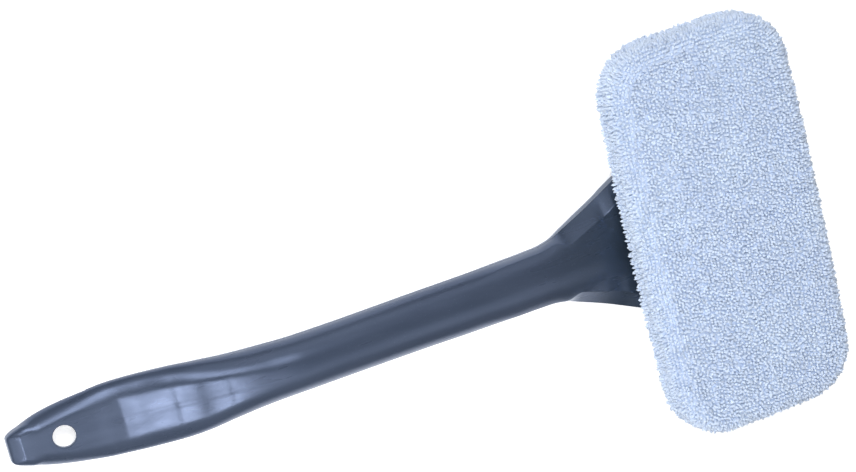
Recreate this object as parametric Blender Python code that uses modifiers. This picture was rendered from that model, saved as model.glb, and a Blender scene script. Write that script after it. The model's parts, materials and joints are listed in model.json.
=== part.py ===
"""Windshield cleaning wand.

A long two-shell plastic handle flares into a flat triangular yoke. A padded head turns on a
steel pin along the yoke's wide end: a ribbed plate, a foam block and a pull-on terry bonnet.

Lengths are in metres. The handle is drawn in its own frame: the hinge axis is the Y axis, the
neck runs along X with the hanging tip at -X, and the cleaning face looks up. One empty then
leans the whole wand until its heel and the belly of its grip both touch the ground plane.
"""

import math

import bmesh
import bpy
import numpy as np
from mathutils import Matrix, Vector

# Overall sizes
HANDLE_LENGTH = 0.3262
GRIP_HALF_WIDTH = 0.0168
GRIP_CROWN = 0.0128
GRIP_BELLY = 0.0100
TIP_DROP = 0.0285
YOKE_HALF_SPAN = 0.050
HEAD_LENGTH = 0.180
HEAD_WIDTH = 0.088

# Clearances and cutting
SEAT_GAP = 0.0003
PIN_CLEARANCE = 0.0001
OVERRUN = 0.002
MERGE_DISTANCE = 0.00002

# Handle shells
SHELL_WALL = 0.0022
RIB_THICKNESS = 0.0016
HANG_HOLE_DIAMETER = 0.0100
BARREL_RADIUS = 0.0065
BARREL_BACK = 0.0080

# Fasteners
SCREW_RADIUS = 0.0014
SCREW_HEAD_RADIUS = 0.0028
SCREW_HEAD_HEIGHT = 0.0018
SCREW_CLEARANCE = 0.0003
SCREW_SEAT_DEPTH = 0.0030
NECK_SCREW_LENGTH = 0.0095
GRIP_SCREW_LENGTH = 0.0058
YOKE_SCREW_LENGTH = 0.0058
BOSS_WALL = 0.0016
CROSS_SLOT_WIDTH = 0.0007
CROSS_SLOT_LENGTH = 0.0030
CROSS_SLOT_DEPTH = 0.0009
SCREW_HEAD_CROWN_share = 0.70

# Hinge
PIN_RADIUS = 0.0015
EAR_THICKNESS = 0.0040
EAR_RADIUS = 0.0062
EAR_FOOT_HALF_WIDTH = 0.0120
PIN_CAP_RADIUS = 0.0042
PIN_CAP_HEIGHT = 0.0030
PIN_CAP_FLOOR = 0.0010
EAR_SHOULDER_ANGLE = math.radians(15)
CAP_CROWN_shares = ((0.50, 1.00), (0.91, 0.75), (1.00, 0.35))

# Head, heights measured up from the hinge axis
BONNET_BACK_HEIGHT = 0.0080
PLATE_BACK_HEIGHT = 0.0112
PLATE_THICKNESS = 0.0024
FOAM_THICKNESS = 0.0128
BONNET_WALL = 0.0035
PLATE_INSET = 0.0024
PLATE_RIB_HEIGHT = 0.0016
PLATE_RIB_THICKNESS = 0.0018
ADHESIVE_THICKNESS = 0.0004
ADHESIVE_MARGIN = 0.0020
HEAD_CORNER_RADIUS = 0.0215
CORNER_FLOOR_RADIUS = 0.0040
FACE_EDGE_RADIUS = 0.0085
BACK_EDGE_RADIUS = 0.0050
FACE_CROWN = 0.0008
OPENING_HALF_LENGTH = 0.0700
OPENING_HALF_WIDTH = 0.0270
OPENING_CORNER_RADIUS = 0.0150
HEM_HALF_WIDTH = 0.0026
HEM_HEIGHT = 0.0036
HEM_CLOTH = 0.0005
HEM_OPEN_ANGLE = math.radians(10)
HEM_OPEN_DIRECTION = math.radians(90)
ELASTIC_RADIUS = 0.0009

# Smoothness
RINGS_PER_STATION = 2
CURVE_STEPS = 3
BELLY_STEPS = 6
INSIDE_RINGS_PER_STATION = 1
INSIDE_CURVE_STEPS = 2
INSIDE_BELLY_STEPS = 4
CORNER_STEPS = 6
HEM_STEPS = 8
CAP_SIDES = 20
ROUND_SIDES = 28
HOLE_SIDES = 36
SMALL_SIDES = 16
SMOOTH_ANGLE = math.radians(32)
QUARTER_TURN = math.radians(90)

# Places along the handle, as shares of its length from the tip to the hinge
TIP_LAND_shares = (0.017, 0.110)
HANG_HOLE_share = 0.0711
COVER_START_share = 0.117
RIB_shares = (0.149, 0.220, 0.289)
GRIP_SCREW_share = 0.220
NECK_SCREW_shares = (0.520, 0.732)
YOKE_SCREW_share = 0.912
YOKE_SCREW_SPAN_share = 0.56

# Cross-sections of the front shell, from the parting line up over one side to the middle.
# Each pair is a share of the half width and a share of the crown height there: the pull of the
# side, the shoulder, the pull above it, the edge of the spine, and the pull up to the middle.
SECTION_shares = {
    "tip": ((1.0, 0.350), (0.985, 0.550), (0.940, 0.800), (0.660, 0.930), (0.450, 1.0)),
    "oval": ((1.0, 0.364), (0.766, 0.643), (0.624, 0.813), (0.423, 0.906), (0.222, 1.0)),
    "loaf": ((1.0, 0.270), (0.920, 0.510), (0.750, 0.745), (0.500, 0.885), (0.270, 1.0)),
    "flare": ((0.826, 0.340), (0.653, 0.680), (0.600, 0.730), (0.540, 0.790), (0.280, 1.0)),
    "hood": ((0.840, 0.330), (0.680, 0.660), (0.560, 0.690), (0.440, 0.740), (0.240, 1.0)),
    "roof": ((0.866, 0.420), (0.730, 0.850), (0.560, 0.910), (0.400, 0.950), (0.200, 1.0)),
}
SQUARENESS_shares = {
    "tip": 0.70,
    "oval": 1.0,
    "loaf": 0.80,
    "flare": 0.60,
    "hood": 0.42,
    "roof": 0.34,
}

# Stations of the handle: share along it, drop of the mid line as a share of TIP_DROP, half width
# as a share of GRIP_HALF_WIDTH, spread towards YOKE_HALF_SPAN, crown and belly heights as shares
# of GRIP_CROWN and GRIP_BELLY, and the cross-section there.
STATION_shares = (
    (0.000, 1.030, 0.335, 0.000, 0.340, 0.300, "tip"),
    (0.004, 1.025, 0.405, 0.000, 0.380, 0.310, "tip"),
    (0.022, 1.005, 0.540, 0.000, 0.460, 0.340, "tip"),
    (0.045, 0.965, 0.700, 0.000, 0.520, 0.360, "oval"),
    (0.075, 0.895, 0.825, 0.000, 0.545, 0.400, "oval"),
    (0.110, 0.790, 0.920, 0.000, 0.475, 0.480, "oval"),
    (0.120, 0.760, 0.945, 0.000, 0.450, 0.560, "oval"),
    (0.140, 0.708, 0.975, 0.000, 0.420, 0.950, "oval"),
    (0.177, 0.572, 0.995, 0.000, 0.435, 1.150, "oval"),
    (0.216, 0.415, 0.985, 0.000, 0.490, 1.250, "oval"),
    (0.253, 0.300, 0.935, 0.000, 0.600, 1.230, "oval"),
    (0.293, 0.250, 0.850, 0.000, 0.700, 1.180, "oval"),
    (0.338, 0.210, 0.785, 0.000, 0.770, 1.100, "oval"),
    (0.390, 0.140, 0.750, 0.000, 0.780, 1.030, "oval"),
    (0.451, 0.107, 0.745, 0.000, 0.775, 0.985, "oval"),
    (0.560, 0.068, 0.755, 0.000, 0.770, 0.960, "oval"),
    (0.634, 0.020, 0.766, 0.000, 0.770, 0.940, "oval"),
    (0.700, 0.000, 0.768, 0.000, 0.765, 0.910, "loaf"),
    (0.744, 0.000, 0.768, 0.007, 0.750, 0.880, "loaf"),
    (0.766, 0.000, 0.768, 0.038, 0.720, 0.860, "loaf"),
    (0.792, 0.000, 0.768, 0.128, 0.685, 0.840, "flare"),
    (0.828, 0.000, 0.768, 0.262, 0.630, 0.820, "hood"),
    (0.840, 0.000, 0.768, 0.306, 0.520, 0.815, "roof"),
    (0.862, 0.000, 0.768, 0.410, 0.440, 0.810, "roof"),
    (0.908, 0.000, 0.768, 0.605, 0.360, 0.800, "roof"),
    (0.958, 0.000, 0.768, 0.820, 0.300, 0.780, "roof"),
    (0.985, 0.000, 0.768, 0.935, 0.290, 0.760, "roof"),
)

# The thumb panel's surface: share along the handle, height as a share of the crown, and dishing
# as a share of PANEL_DISH. It is flat over the land round the hanging hole.
PANEL_DISH = 0.0006
PANEL_shares = (
    (0.000, 0.720, 0.0),
    (0.017, 0.960, 0.0),
    (0.110, 0.835, 0.0),
    (0.145, 0.815, 0.5),
    (0.177, 0.815, 0.9),
    (0.216, 0.820, 1.0),
    (0.253, 0.845, 0.9),
    (0.293, 0.895, 0.6),
    (0.338, 0.955, 0.2),
    (0.390, 1.010, 0.0),
)


def clear_scene():
    for obj in list(bpy.data.objects):
        bpy.data.objects.remove(obj, do_unlink=True)


def new_collection(name):
    collection = bpy.data.collections.new(name)
    bpy.context.scene.collection.children.link(collection)
    return collection


def new_empty(name, parent, collection):
    empty = bpy.data.objects.new(name, None)
    empty.empty_display_size = HEAD_WIDTH
    empty.parent = parent
    collection.objects.link(empty)
    return empty


def new_material(name, colour, roughness, metallic=0.0):
    material = bpy.data.materials.new(name)
    material.use_nodes = True
    shader = material.node_tree.nodes["Principled BSDF"]
    shader.inputs["Base Color"].default_value = (*colour, 1.0)
    shader.inputs["Roughness"].default_value = roughness
    shader.inputs["Metallic"].default_value = metallic
    material.diffuse_color = (*colour, 1.0)
    return material


def smooth_round_faces(mesh):
    mesh.shade_smooth()
    mesh.set_sharp_from_angle(angle=SMOOTH_ANGLE)


def add_part(mesh, name, parent, material, collection):
    """Put a mesh into the scene as a named piece."""
    mesh.name = name
    smooth_round_faces(mesh)
    mesh.materials.append(material)
    obj = bpy.data.objects.new(name, mesh)
    obj.parent = parent
    collection.objects.link(obj)
    return obj


def add_cutter(mesh, name, parent, collection):
    """Put a mesh into the scene as a hidden tool for Boolean modifiers."""
    mesh.name = name
    obj = bpy.data.objects.new(name, mesh)
    obj.parent = parent
    obj.hide_render = True
    obj.display_type = "WIRE"
    collection.objects.link(obj)
    return obj


def boolean(obj, other, operation="DIFFERENCE"):
    modifier = obj.modifiers.new(f"{operation} {other.name}", "BOOLEAN")
    modifier.operation = operation
    modifier.object = other
    return modifier


def loft(rings, closed=False):
    """A mesh through rings of the same number of points. A closed loft joins its ends."""
    work = bmesh.new()
    rows = [[work.verts.new(point) for point in ring] for ring in rings]
    count = len(rows[0])
    joined = rows + rows[:1] if closed else rows
    for low, high in zip(joined, joined[1:]):
        for i in range(count):
            j = (i + 1) % count
            work.faces.new((low[i], low[j], high[j], high[i]))
    if not closed:
        work.faces.new(rows[0])
        work.faces.new(rows[-1])
    bmesh.ops.recalc_face_normals(work, faces=work.faces)
    mesh = bpy.data.meshes.new("loft")
    work.to_mesh(mesh)
    work.free()
    return mesh


def cylinder(radius, length, sides, centre, axis):
    """A closed cylinder of this length about a point and an axis, flats on the mid plane."""
    work = bmesh.new()
    half_side = Matrix.Rotation(math.pi / sides, 4, "Z")
    turn = axis.to_track_quat("Z", "Y").to_matrix().to_4x4() @ half_side
    bmesh.ops.create_cone(
        work,
        cap_ends=True,
        segments=sides,
        radius1=radius,
        radius2=radius,
        depth=length,
        matrix=Matrix.Translation(centre) @ turn,
    )
    mesh = bpy.data.meshes.new("cylinder")
    work.to_mesh(mesh)
    work.free()
    return mesh


def box(low, high):
    """A box between two corners."""
    size = high - low
    middle = (low + high) / 2
    work = bmesh.new()
    place = Matrix.Translation(middle) @ Matrix.Diagonal(size).to_4x4()
    bmesh.ops.create_cube(work, size=1.0, matrix=place)
    mesh = bpy.data.meshes.new("box")
    work.to_mesh(mesh)
    work.free()
    return mesh


def extruded_outline(points, thickness):
    """A flat outline in XY, filled and given a thickness about its plane."""
    curve = bpy.data.curves.new("outline", "CURVE")
    curve.dimensions = "2D"
    curve.fill_mode = "BOTH"
    curve.extrude = thickness / 2
    spline = curve.splines.new("POLY")
    spline.points.add(len(points) - 1)
    for spot, (x, y) in zip(spline.points, points):
        spot.co = (x, y, 0.0, 1.0)
    spline.use_cyclic_u = True
    drawing = bpy.data.objects.new("outline", curve)
    bpy.context.scene.collection.objects.link(drawing)
    graph = bpy.context.evaluated_depsgraph_get()
    mesh = bpy.data.meshes.new_from_object(drawing.evaluated_get(graph))
    bpy.data.objects.remove(drawing)
    bpy.data.curves.remove(curve)
    work = bmesh.new()
    work.from_mesh(mesh)
    bmesh.ops.remove_doubles(work, verts=work.verts, dist=MERGE_DISTANCE)
    bmesh.ops.recalc_face_normals(work, faces=work.faces)
    work.to_mesh(mesh)
    work.free()
    return mesh


def turned(name, profile, parent, material, collection, sides):
    """A turned piece about Z, from a profile of (radius, height) that runs top to bottom."""
    mesh = bpy.data.meshes.new(name)
    points = [(radius, 0.0, height) for radius, height in profile]
    mesh.from_pydata(points, [(i, i + 1) for i in range(len(points) - 1)], [])
    obj = bpy.data.objects.new(name, mesh)
    mesh.materials.append(material)
    screw = obj.modifiers.new("turn", "SCREW")
    screw.steps = sides
    screw.render_steps = sides
    screw.use_merge_vertices = True
    screw.merge_threshold = MERGE_DISTANCE
    screw.use_smooth_shade = False
    obj.parent = parent
    collection.objects.link(obj)
    return obj


def smooth_through(places, values, wanted):
    """Monotone cubic through hand-chosen values, so nothing overshoots between them."""
    gaps = np.diff(places)
    slopes = np.diff(values, axis=0) / gaps[:, None]
    tangents = np.zeros_like(values)
    tangents[0] = slopes[0]
    tangents[-1] = slopes[-1]
    same_way = slopes[:-1] * slopes[1:] > 0
    before = 2 * gaps[1:] + gaps[:-1]
    after = gaps[1:] + 2 * gaps[:-1]
    left = np.where(same_way, slopes[:-1], 1.0)
    right = np.where(same_way, slopes[1:], 1.0)
    blend = (before + after)[:, None] / (before[:, None] / left + after[:, None] / right)
    tangents[1:-1] = np.where(same_way, blend, 0.0)
    i = int(np.clip(np.searchsorted(places, wanted) - 1, 0, len(gaps) - 1))
    t = (wanted - places[i]) / gaps[i]
    rise = values[i + 1] - values[i]
    pull = gaps[i] * tangents[i]
    push = gaps[i] * tangents[i + 1]
    return values[i] + t * pull + t**2 * (3 * rise - 2 * pull - push) + t**3 * (pull + push - 2 * rise)


def station_values():
    """The stations' places and, for each, its numbers with those of its cross-section."""
    places = np.array([row[0] for row in STATION_shares])
    values = []
    for row in STATION_shares:
        section = [number for pair in SECTION_shares[row[-1]] for number in pair]
        values.append([*row[1:-1], SQUARENESS_shares[row[-1]], *section])
    return places, np.array(values)


PLACES, VALUES = station_values()


def along_handle(share):
    """X of a share of the handle's length, from the tip at 0 to the hinge axis at 1."""
    return (share - 1.0) * HANDLE_LENGTH


class Section:
    """The handle's cross-section at a share of its length."""

    def __init__(self, share):
        numbers = smooth_through(PLACES, VALUES, share)
        drop, width, self.flare, crown, belly, self.squareness = numbers[:6]
        neck_half_width = width * GRIP_HALF_WIDTH
        self.x = along_handle(share)
        self.middle = -drop * TIP_DROP
        self.half_width = neck_half_width + self.flare * (YOKE_HALF_SPAN - neck_half_width)
        self.crown = crown * GRIP_CROWN
        self.belly = belly * GRIP_BELLY
        self.pairs = numbers[6:].reshape(-1, 2)

    def upper(self, wall=0.0, steps=CURVE_STEPS):
        """Points of the upper half, from one parting line over the crown to the other."""
        half_width = self.half_width - wall * (1.0 + self.flare)
        crown = self.crown - wall
        knots = [(1.0, 0.0), *self.pairs, (0.0, 1.0)]
        half = [(half_width, 0.0)]
        for start, pull, end in zip(knots[0::2], knots[1::2], knots[2::2]):
            for step in range(1, steps + 1):
                t = step / steps
                y = (1 - t) ** 2 * start[0] + 2 * t * (1 - t) * pull[0] + t**2 * end[0]
                z = (1 - t) ** 2 * start[1] + 2 * t * (1 - t) * pull[1] + t**2 * end[1]
                half.append((half_width * y, crown * z))
        whole = half + [(-y, z) for y, z in reversed(half[:-1])]
        return [Vector((self.x, y, self.middle + z)) for y, z in whole]

    def lower(self, wall=0.0, steps=BELLY_STEPS):
        """Points of the lower half, a flat-bottomed superellipse that squares up to the yoke."""
        half_width = self.half_width - wall * (1.0 + self.flare / 2)
        belly = self.belly - wall
        points = []
        sides = 2 * steps + 1
        flat = math.sin(math.pi * steps / sides) ** self.squareness
        for step in range(sides + 1):
            angle = math.pi * step / sides
            y = math.copysign(abs(math.cos(angle)) ** self.squareness, math.cos(angle))
            z = math.sin(angle) ** self.squareness / flat if 0 < step < sides else 0.0
            points.append(Vector((self.x, half_width * y, self.middle - belly * z)))
        return points

    def panel_height(self, share_of_crown):
        return self.middle + share_of_crown * self.crown


def ring_places(start, end, count=RINGS_PER_STATION):
    """Shares along the handle for the rings between two places, the stations among them."""
    places = [start]
    for low, high in zip(PLACES, PLACES[1:]):
        for step in range(count):
            share = low + (high - low) * step / count
            if start < share < end:
                places.append(share)
    return places + [end]


def upper_half(start, end):
    """The upper half of the handle between two shares of its length."""
    return loft([Section(share).upper() for share in ring_places(start, end)])


def lower_half(start, end):
    """The lower half of the handle between two shares of its length."""
    return loft([Section(share).lower() for share in ring_places(start, end)])


def run_past_parting(ring, rise):
    """The ring with its two ends carried straight past the parting plane."""
    step = Vector((0.0, 0.0, rise))
    return [ring[0] + step, *ring, ring[-1] + step]


def upper_hollow(start, end):
    """The space inside the upper half, a wall in from it and open through the parting plane."""
    rings = []
    for share in ring_places(start, end, INSIDE_RINGS_PER_STATION):
        ring = Section(share).upper(SHELL_WALL, INSIDE_CURVE_STEPS)
        rings.append(run_past_parting(ring, -OVERRUN))
    return loft(rings)


def lower_hollow(start, end):
    """The space inside the lower half, a wall in from it and open through the parting plane."""
    rings = []
    for share in ring_places(start, end, INSIDE_RINGS_PER_STATION):
        ring = Section(share).lower(SHELL_WALL, INSIDE_BELLY_STEPS)
        rings.append(run_past_parting(ring, OVERRUN))
    return loft(rings)


def panel_tool(name, lowered, parent, cutters):
    """The tool that planes the thumb panel and the tip's bevel off the rounded grip."""
    rings = []
    for row, (share, height, dish) in enumerate(PANEL_shares):
        section = Section(share)
        x = section.x - OVERRUN if row == 0 else section.x
        level = section.panel_height(height) - lowered
        reach = GRIP_HALF_WIDTH + OVERRUN
        ring = []
        for step in range(2 * CURVE_STEPS + 1):
            side = step / CURVE_STEPS - 1.0
            ring.append(Vector((x, side * reach, level + dish * PANEL_DISH * side**2)))
        top = GRIP_CROWN + OVERRUN
        ring.append(Vector((x, reach, top)))
        ring.append(Vector((x, -reach, top)))
        rings.append(ring)
    return add_cutter(loft(rings), name, parent, cutters)


def tip_land():
    """Two points of the flat land round the hanging hole, at its ends on the mid plane."""
    ends = []
    for share in TIP_LAND_shares:
        height = next(row[1] for row in PANEL_shares if row[0] == share)
        section = Section(share)
        ends.append(Vector((section.x, 0.0, section.panel_height(height))))
    return ends


def hang_hole():
    """The hanging hole's centre on the land, and its axis square to the land."""
    start, end = tip_land()
    low, high = TIP_LAND_shares
    slope = (end - start).normalized()
    centre = start.lerp(end, (HANG_HOLE_share - low) / (high - low))
    return centre, Vector((-slope.z, 0.0, slope.x))


def screw_places():
    """Every screw's section and sideways place, with its length: grip, neck, then yoke."""
    places = [(Section(GRIP_SCREW_share), 0.0, GRIP_SCREW_LENGTH)]
    places += [(Section(share), 0.0, NECK_SCREW_LENGTH) for share in NECK_SCREW_shares]
    yoke = Section(YOKE_SCREW_share)
    for side in (-1.0, 1.0):
        sideways = side * YOKE_SCREW_SPAN_share * yoke.half_width
        places.append((yoke, sideways, YOKE_SCREW_LENGTH))
    return places


def column(x, y, low, high, radius, sides):
    """An upright cylinder between two heights."""
    centre = Vector((x, y, (low + high) / 2))
    return cylinder(radius, high - low, sides, centre, Vector((0, 0, 1)))


def front_cavity(handle, cutters):
    """The hollow of the front shell, with its rib grid and screw bosses left standing."""
    wall_share = SHELL_WALL / HANDLE_LENGTH
    barrel_share = 1.0 - BARREL_BACK / HANDLE_LENGTH
    mesh = upper_hollow(wall_share, barrel_share)
    cavity = add_cutter(mesh, "front_cavity", handle, cutters)
    boolean(cavity, panel_tool("panel_inside", SHELL_WALL, handle, cutters))
    reach = YOKE_HALF_SPAN
    for number, share in enumerate((COVER_START_share, *RIB_shares), 1):
        x = along_handle(share)
        low = Vector((x - RIB_THICKNESS / 2, -reach, -reach))
        high = Vector((x + RIB_THICKNESS / 2, reach, reach))
        boolean(cavity, add_cutter(box(low, high), f"cross_rib_{number}", handle, cutters))
    low = Vector((along_handle(COVER_START_share), -RIB_THICKNESS / 2, -reach))
    high = Vector((along_handle(RIB_shares[-1]), RIB_THICKNESS / 2, reach))
    boolean(cavity, add_cutter(box(low, high), "long_rib", handle, cutters))
    radius = SCREW_RADIUS + BOSS_WALL
    for number, (section, y, _) in enumerate(screw_places(), 1):
        low = section.middle - 2 * OVERRUN
        mesh = column(section.x, y, low, section.middle + section.crown, radius, SMALL_SIDES)
        boolean(cavity, add_cutter(mesh, f"front_boss_{number}", handle, cutters))
    return cavity


def front_shell(handle, plastic, parts, cutters):
    """The visible half: tip, thumb panel, neck and hooded yoke with its hinge barrel."""
    end = STATION_shares[-1][0]
    mesh = upper_half(0.0, end)
    shell = add_part(mesh, "handle_front_shell", handle, plastic, parts)
    boolean(shell, panel_tool("thumb_panel", 0.0, handle, cutters))
    hollow = boolean(shell, front_cavity(handle, cutters))
    # The cavity is many separate pockets, which the solver only handles when it looks for them.
    hollow.use_self = True
    span = 2 * YOKE_HALF_SPAN
    across = Vector((0, 1, 0))
    mesh = cylinder(BARREL_RADIUS, span, ROUND_SIDES, Vector(), across)
    boolean(shell, add_cutter(mesh, "hinge_barrel", handle, cutters), "UNION")
    bore = PIN_RADIUS + PIN_CLEARANCE
    mesh = cylinder(bore, span + 2 * OVERRUN, SMALL_SIDES, Vector(), across)
    boolean(shell, add_cutter(mesh, "hinge_bore", handle, cutters))
    centre, axis = hang_hole()
    mesh = cylinder(HANG_HOLE_DIAMETER / 2, GRIP_CROWN, HOLE_SIDES, centre, axis)
    boolean(shell, add_cutter(mesh, "hang_hole", handle, cutters))
    for number, (section, y, length) in enumerate(screw_places(), 1):
        top = section.middle - SCREW_SEAT_DEPTH + length + SCREW_CLEARANCE
        mesh = column(
            section.x,
            y,
            section.middle - OVERRUN,
            top,
            SCREW_RADIUS + PIN_CLEARANCE,
            SMALL_SIDES,
        )
        boolean(shell, add_cutter(mesh, f"pilot_hole_{number}", handle, cutters))
    return shell


def back_cavity(handle, cutters):
    """The hollow of the back shell, with its screw wells left standing."""
    wall_share = SHELL_WALL / HANDLE_LENGTH
    end = 1.0 - (BARREL_BACK + SHELL_WALL) / HANDLE_LENGTH
    mesh = lower_hollow(COVER_START_share + wall_share, end)
    cavity = add_cutter(mesh, "back_cavity", handle, cutters)
    radius = SCREW_HEAD_RADIUS + SCREW_CLEARANCE + BOSS_WALL
    for number, (section, y, _) in enumerate(screw_places(), 1):
        low = section.middle - section.belly - OVERRUN
        mesh = column(section.x, y, low, section.middle + 2 * OVERRUN, radius, SMALL_SIDES)
        boolean(cavity, add_cutter(mesh, f"well_wall_{number}", handle, cutters))
    return cavity


def back_shell(handle, plastic, parts, cutters):
    """The hidden half, which closes the grip, the neck and the yoke from beneath."""
    end = 1.0 - BARREL_BACK / HANDLE_LENGTH
    mesh = lower_half(COVER_START_share, end)
    mesh.transform(Matrix.Translation((0.0, 0.0, -SEAT_GAP)))
    shell = add_part(mesh, "handle_back_shell", handle, plastic, parts)
    boolean(shell, back_cavity(handle, cutters))
    head = SCREW_HEAD_RADIUS + SCREW_CLEARANCE
    for number, (section, y, _) in enumerate(screw_places(), 1):
        seat = section.middle - SCREW_SEAT_DEPTH
        low = section.middle - section.belly - 2 * OVERRUN
        mesh = column(section.x, y, low, seat - SEAT_GAP, head, SMALL_SIDES)
        boolean(shell, add_cutter(mesh, f"screw_well_{number}", handle, cutters))
        shank = SCREW_RADIUS + SCREW_CLEARANCE
        mesh = column(section.x, y, seat - OVERRUN, section.middle + OVERRUN, shank, SMALL_SIDES)
        boolean(shell, add_cutter(mesh, f"screw_hole_{number}", handle, cutters))
    return shell


def handle_screws(handle, steel, parts, cutters):
    """Pan-head screws that go up through the back shell into the front shell's bosses."""
    for number, (section, y, length) in enumerate(screw_places(), 1):
        under_head = length - SEAT_GAP
        profile = [
            (0.0, under_head),
            (SCREW_RADIUS / 2, under_head),
            (SCREW_RADIUS, under_head - SCREW_RADIUS),
            (SCREW_RADIUS, 0.0),
            (SCREW_HEAD_RADIUS, 0.0),
            (SCREW_HEAD_RADIUS, -SCREW_HEAD_HEIGHT / 2),
            (SCREW_HEAD_CROWN_share * SCREW_HEAD_RADIUS, -SCREW_HEAD_HEIGHT),
            (0.0, -SCREW_HEAD_HEIGHT),
        ]
        screw = turned(f"handle_screw_{number}", profile, handle, steel, parts, SMALL_SIDES)
        place = Vector((section.x, y, section.middle - SCREW_SEAT_DEPTH - 2 * SEAT_GAP))
        screw.location = place
        for turn in range(2):
            wide = (CROSS_SLOT_LENGTH, CROSS_SLOT_WIDTH)
            x, y_half = wide if turn == 0 else wide[::-1]
            low = Vector((-x / 2, -y_half / 2, -SCREW_HEAD_HEIGHT - OVERRUN))
            high = Vector((x / 2, y_half / 2, -SCREW_HEAD_HEIGHT + CROSS_SLOT_DEPTH))
            slot = add_cutter(box(low, high), f"cross_slot_{number}_{turn + 1}", handle, cutters)
            slot.location = place
            boolean(screw, slot)


def ear_outline():
    """The ear seen along the hinge: wide at the plate, round about the pin. X and height."""
    foot = PLATE_BACK_HEIGHT + PLATE_THICKNESS / 2
    points = [(EAR_FOOT_HALF_WIDTH, foot)]
    for step in range(2 * CORNER_STEPS + 1):
        sweep = math.pi + 2 * EAR_SHOULDER_ANGLE
        angle = EAR_SHOULDER_ANGLE - sweep * step / (2 * CORNER_STEPS)
        points.append((EAR_RADIUS * math.cos(angle), EAR_RADIUS * math.sin(angle)))
    return points + [(-EAR_FOOT_HALF_WIDTH, foot)]


def ear_centre():
    """Distance from the mid plane to the middle of an ear."""
    return YOKE_HALF_SPAN + SEAT_GAP + EAR_THICKNESS / 2


def rounded_rectangle(half_width, half_length, radius):
    """Points of a rounded rectangle, half_width along X and half_length along Y."""
    points = []
    for quarter in range(4):
        x = half_width - radius if quarter in (0, 3) else radius - half_width
        y = half_length - radius if quarter in (0, 1) else radius - half_length
        for step in range(CORNER_STEPS + 1):
            angle = QUARTER_TURN * (quarter + step / CORNER_STEPS)
            points.append((x + radius * math.cos(angle), y + radius * math.sin(angle)))
    return points


def head_plate(head, plastic, parts, cutters):
    """The stiff plate: rounded, ribbed on its back, with an ear at each end of the hinge."""
    inset = BONNET_WALL + PLATE_INSET
    half_width = HEAD_WIDTH / 2 - inset
    half_length = HEAD_LENGTH / 2 - inset
    outline = rounded_rectangle(half_width, half_length, HEAD_CORNER_RADIUS - inset)
    mesh = extruded_outline(outline, PLATE_THICKNESS)
    mesh.transform(Matrix.Translation((0, 0, PLATE_BACK_HEIGHT + PLATE_THICKNESS / 2)))
    plate = add_part(mesh, "head_plate", head, plastic, parts)
    for number, side in enumerate((-1, 1), 1):
        mesh = extruded_outline(ear_outline(), EAR_THICKNESS)
        mesh.transform(Matrix.Rotation(QUARTER_TURN, 4, "X"))
        mesh.transform(Matrix.Translation((0, side * ear_centre(), 0)))
        boolean(plate, add_cutter(mesh, f"ear_{number}", head, cutters), "UNION")
    rib_low = PLATE_BACK_HEIGHT - PLATE_RIB_HEIGHT
    rib_high = PLATE_BACK_HEIGHT + PLATE_THICKNESS / 2
    half = PLATE_RIB_THICKNESS / 2
    across = EAR_FOOT_HALF_WIDTH + half
    reach = ear_centre()
    ribs = [(-across, across, y) for y in (-reach / 3, reach / 3)]
    for number, x in enumerate((-EAR_FOOT_HALF_WIDTH, EAR_FOOT_HALF_WIDTH), 1):
        mesh = box(Vector((x - half, -reach, rib_low)), Vector((x + half, reach, rib_high)))
        boolean(plate, add_cutter(mesh, f"plate_long_rib_{number}", head, cutters), "UNION")
    for number, (low, high, y) in enumerate(ribs, 1):
        mesh = box(Vector((low, y - half, rib_low)), Vector((high, y + half, rib_high)))
        boolean(plate, add_cutter(mesh, f"plate_cross_rib_{number}", head, cutters), "UNION")
    length = 2 * (ear_centre() + EAR_THICKNESS)
    mesh = cylinder(PIN_RADIUS + PIN_CLEARANCE, length, SMALL_SIDES, Vector(), Vector((0, 1, 0)))
    boolean(plate, add_cutter(mesh, "ear_holes", head, cutters))
    return plate


def hinge_pin_and_caps(head, steel, plastic, parts):
    """The steel pin through both ears and the barrel, and a push-on cap over each end."""
    ear_face = ear_centre() + EAR_THICKNESS / 2
    cap_bottom = ear_face + SEAT_GAP
    pin_half = cap_bottom + PIN_CAP_HEIGHT - PIN_CAP_FLOOR - SEAT_GAP
    mesh = cylinder(PIN_RADIUS, 2 * pin_half, SMALL_SIDES, Vector(), Vector((0, 1, 0)))
    add_part(mesh, "hinge_pin", head, steel, parts)
    bore = PIN_RADIUS + PIN_CLEARANCE
    crown = [(out * PIN_CAP_RADIUS, up * PIN_CAP_HEIGHT) for out, up in CAP_CROWN_shares]
    profile = [
        (0.0, PIN_CAP_HEIGHT),
        *crown,
        (PIN_CAP_RADIUS, 0.0),
        (bore, 0.0),
        (bore, PIN_CAP_HEIGHT - PIN_CAP_FLOOR),
        (0.0, PIN_CAP_HEIGHT - PIN_CAP_FLOOR),
    ]
    for name, side in (("pin_cap_left", 1), ("pin_cap_right", -1)):
        cap = turned(name, profile, head, plastic, parts, CAP_SIDES)
        cap.location = (0.0, side * cap_bottom, 0.0)
        cap.rotation_euler = (-side * QUARTER_TURN, 0.0, 0.0)


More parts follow.
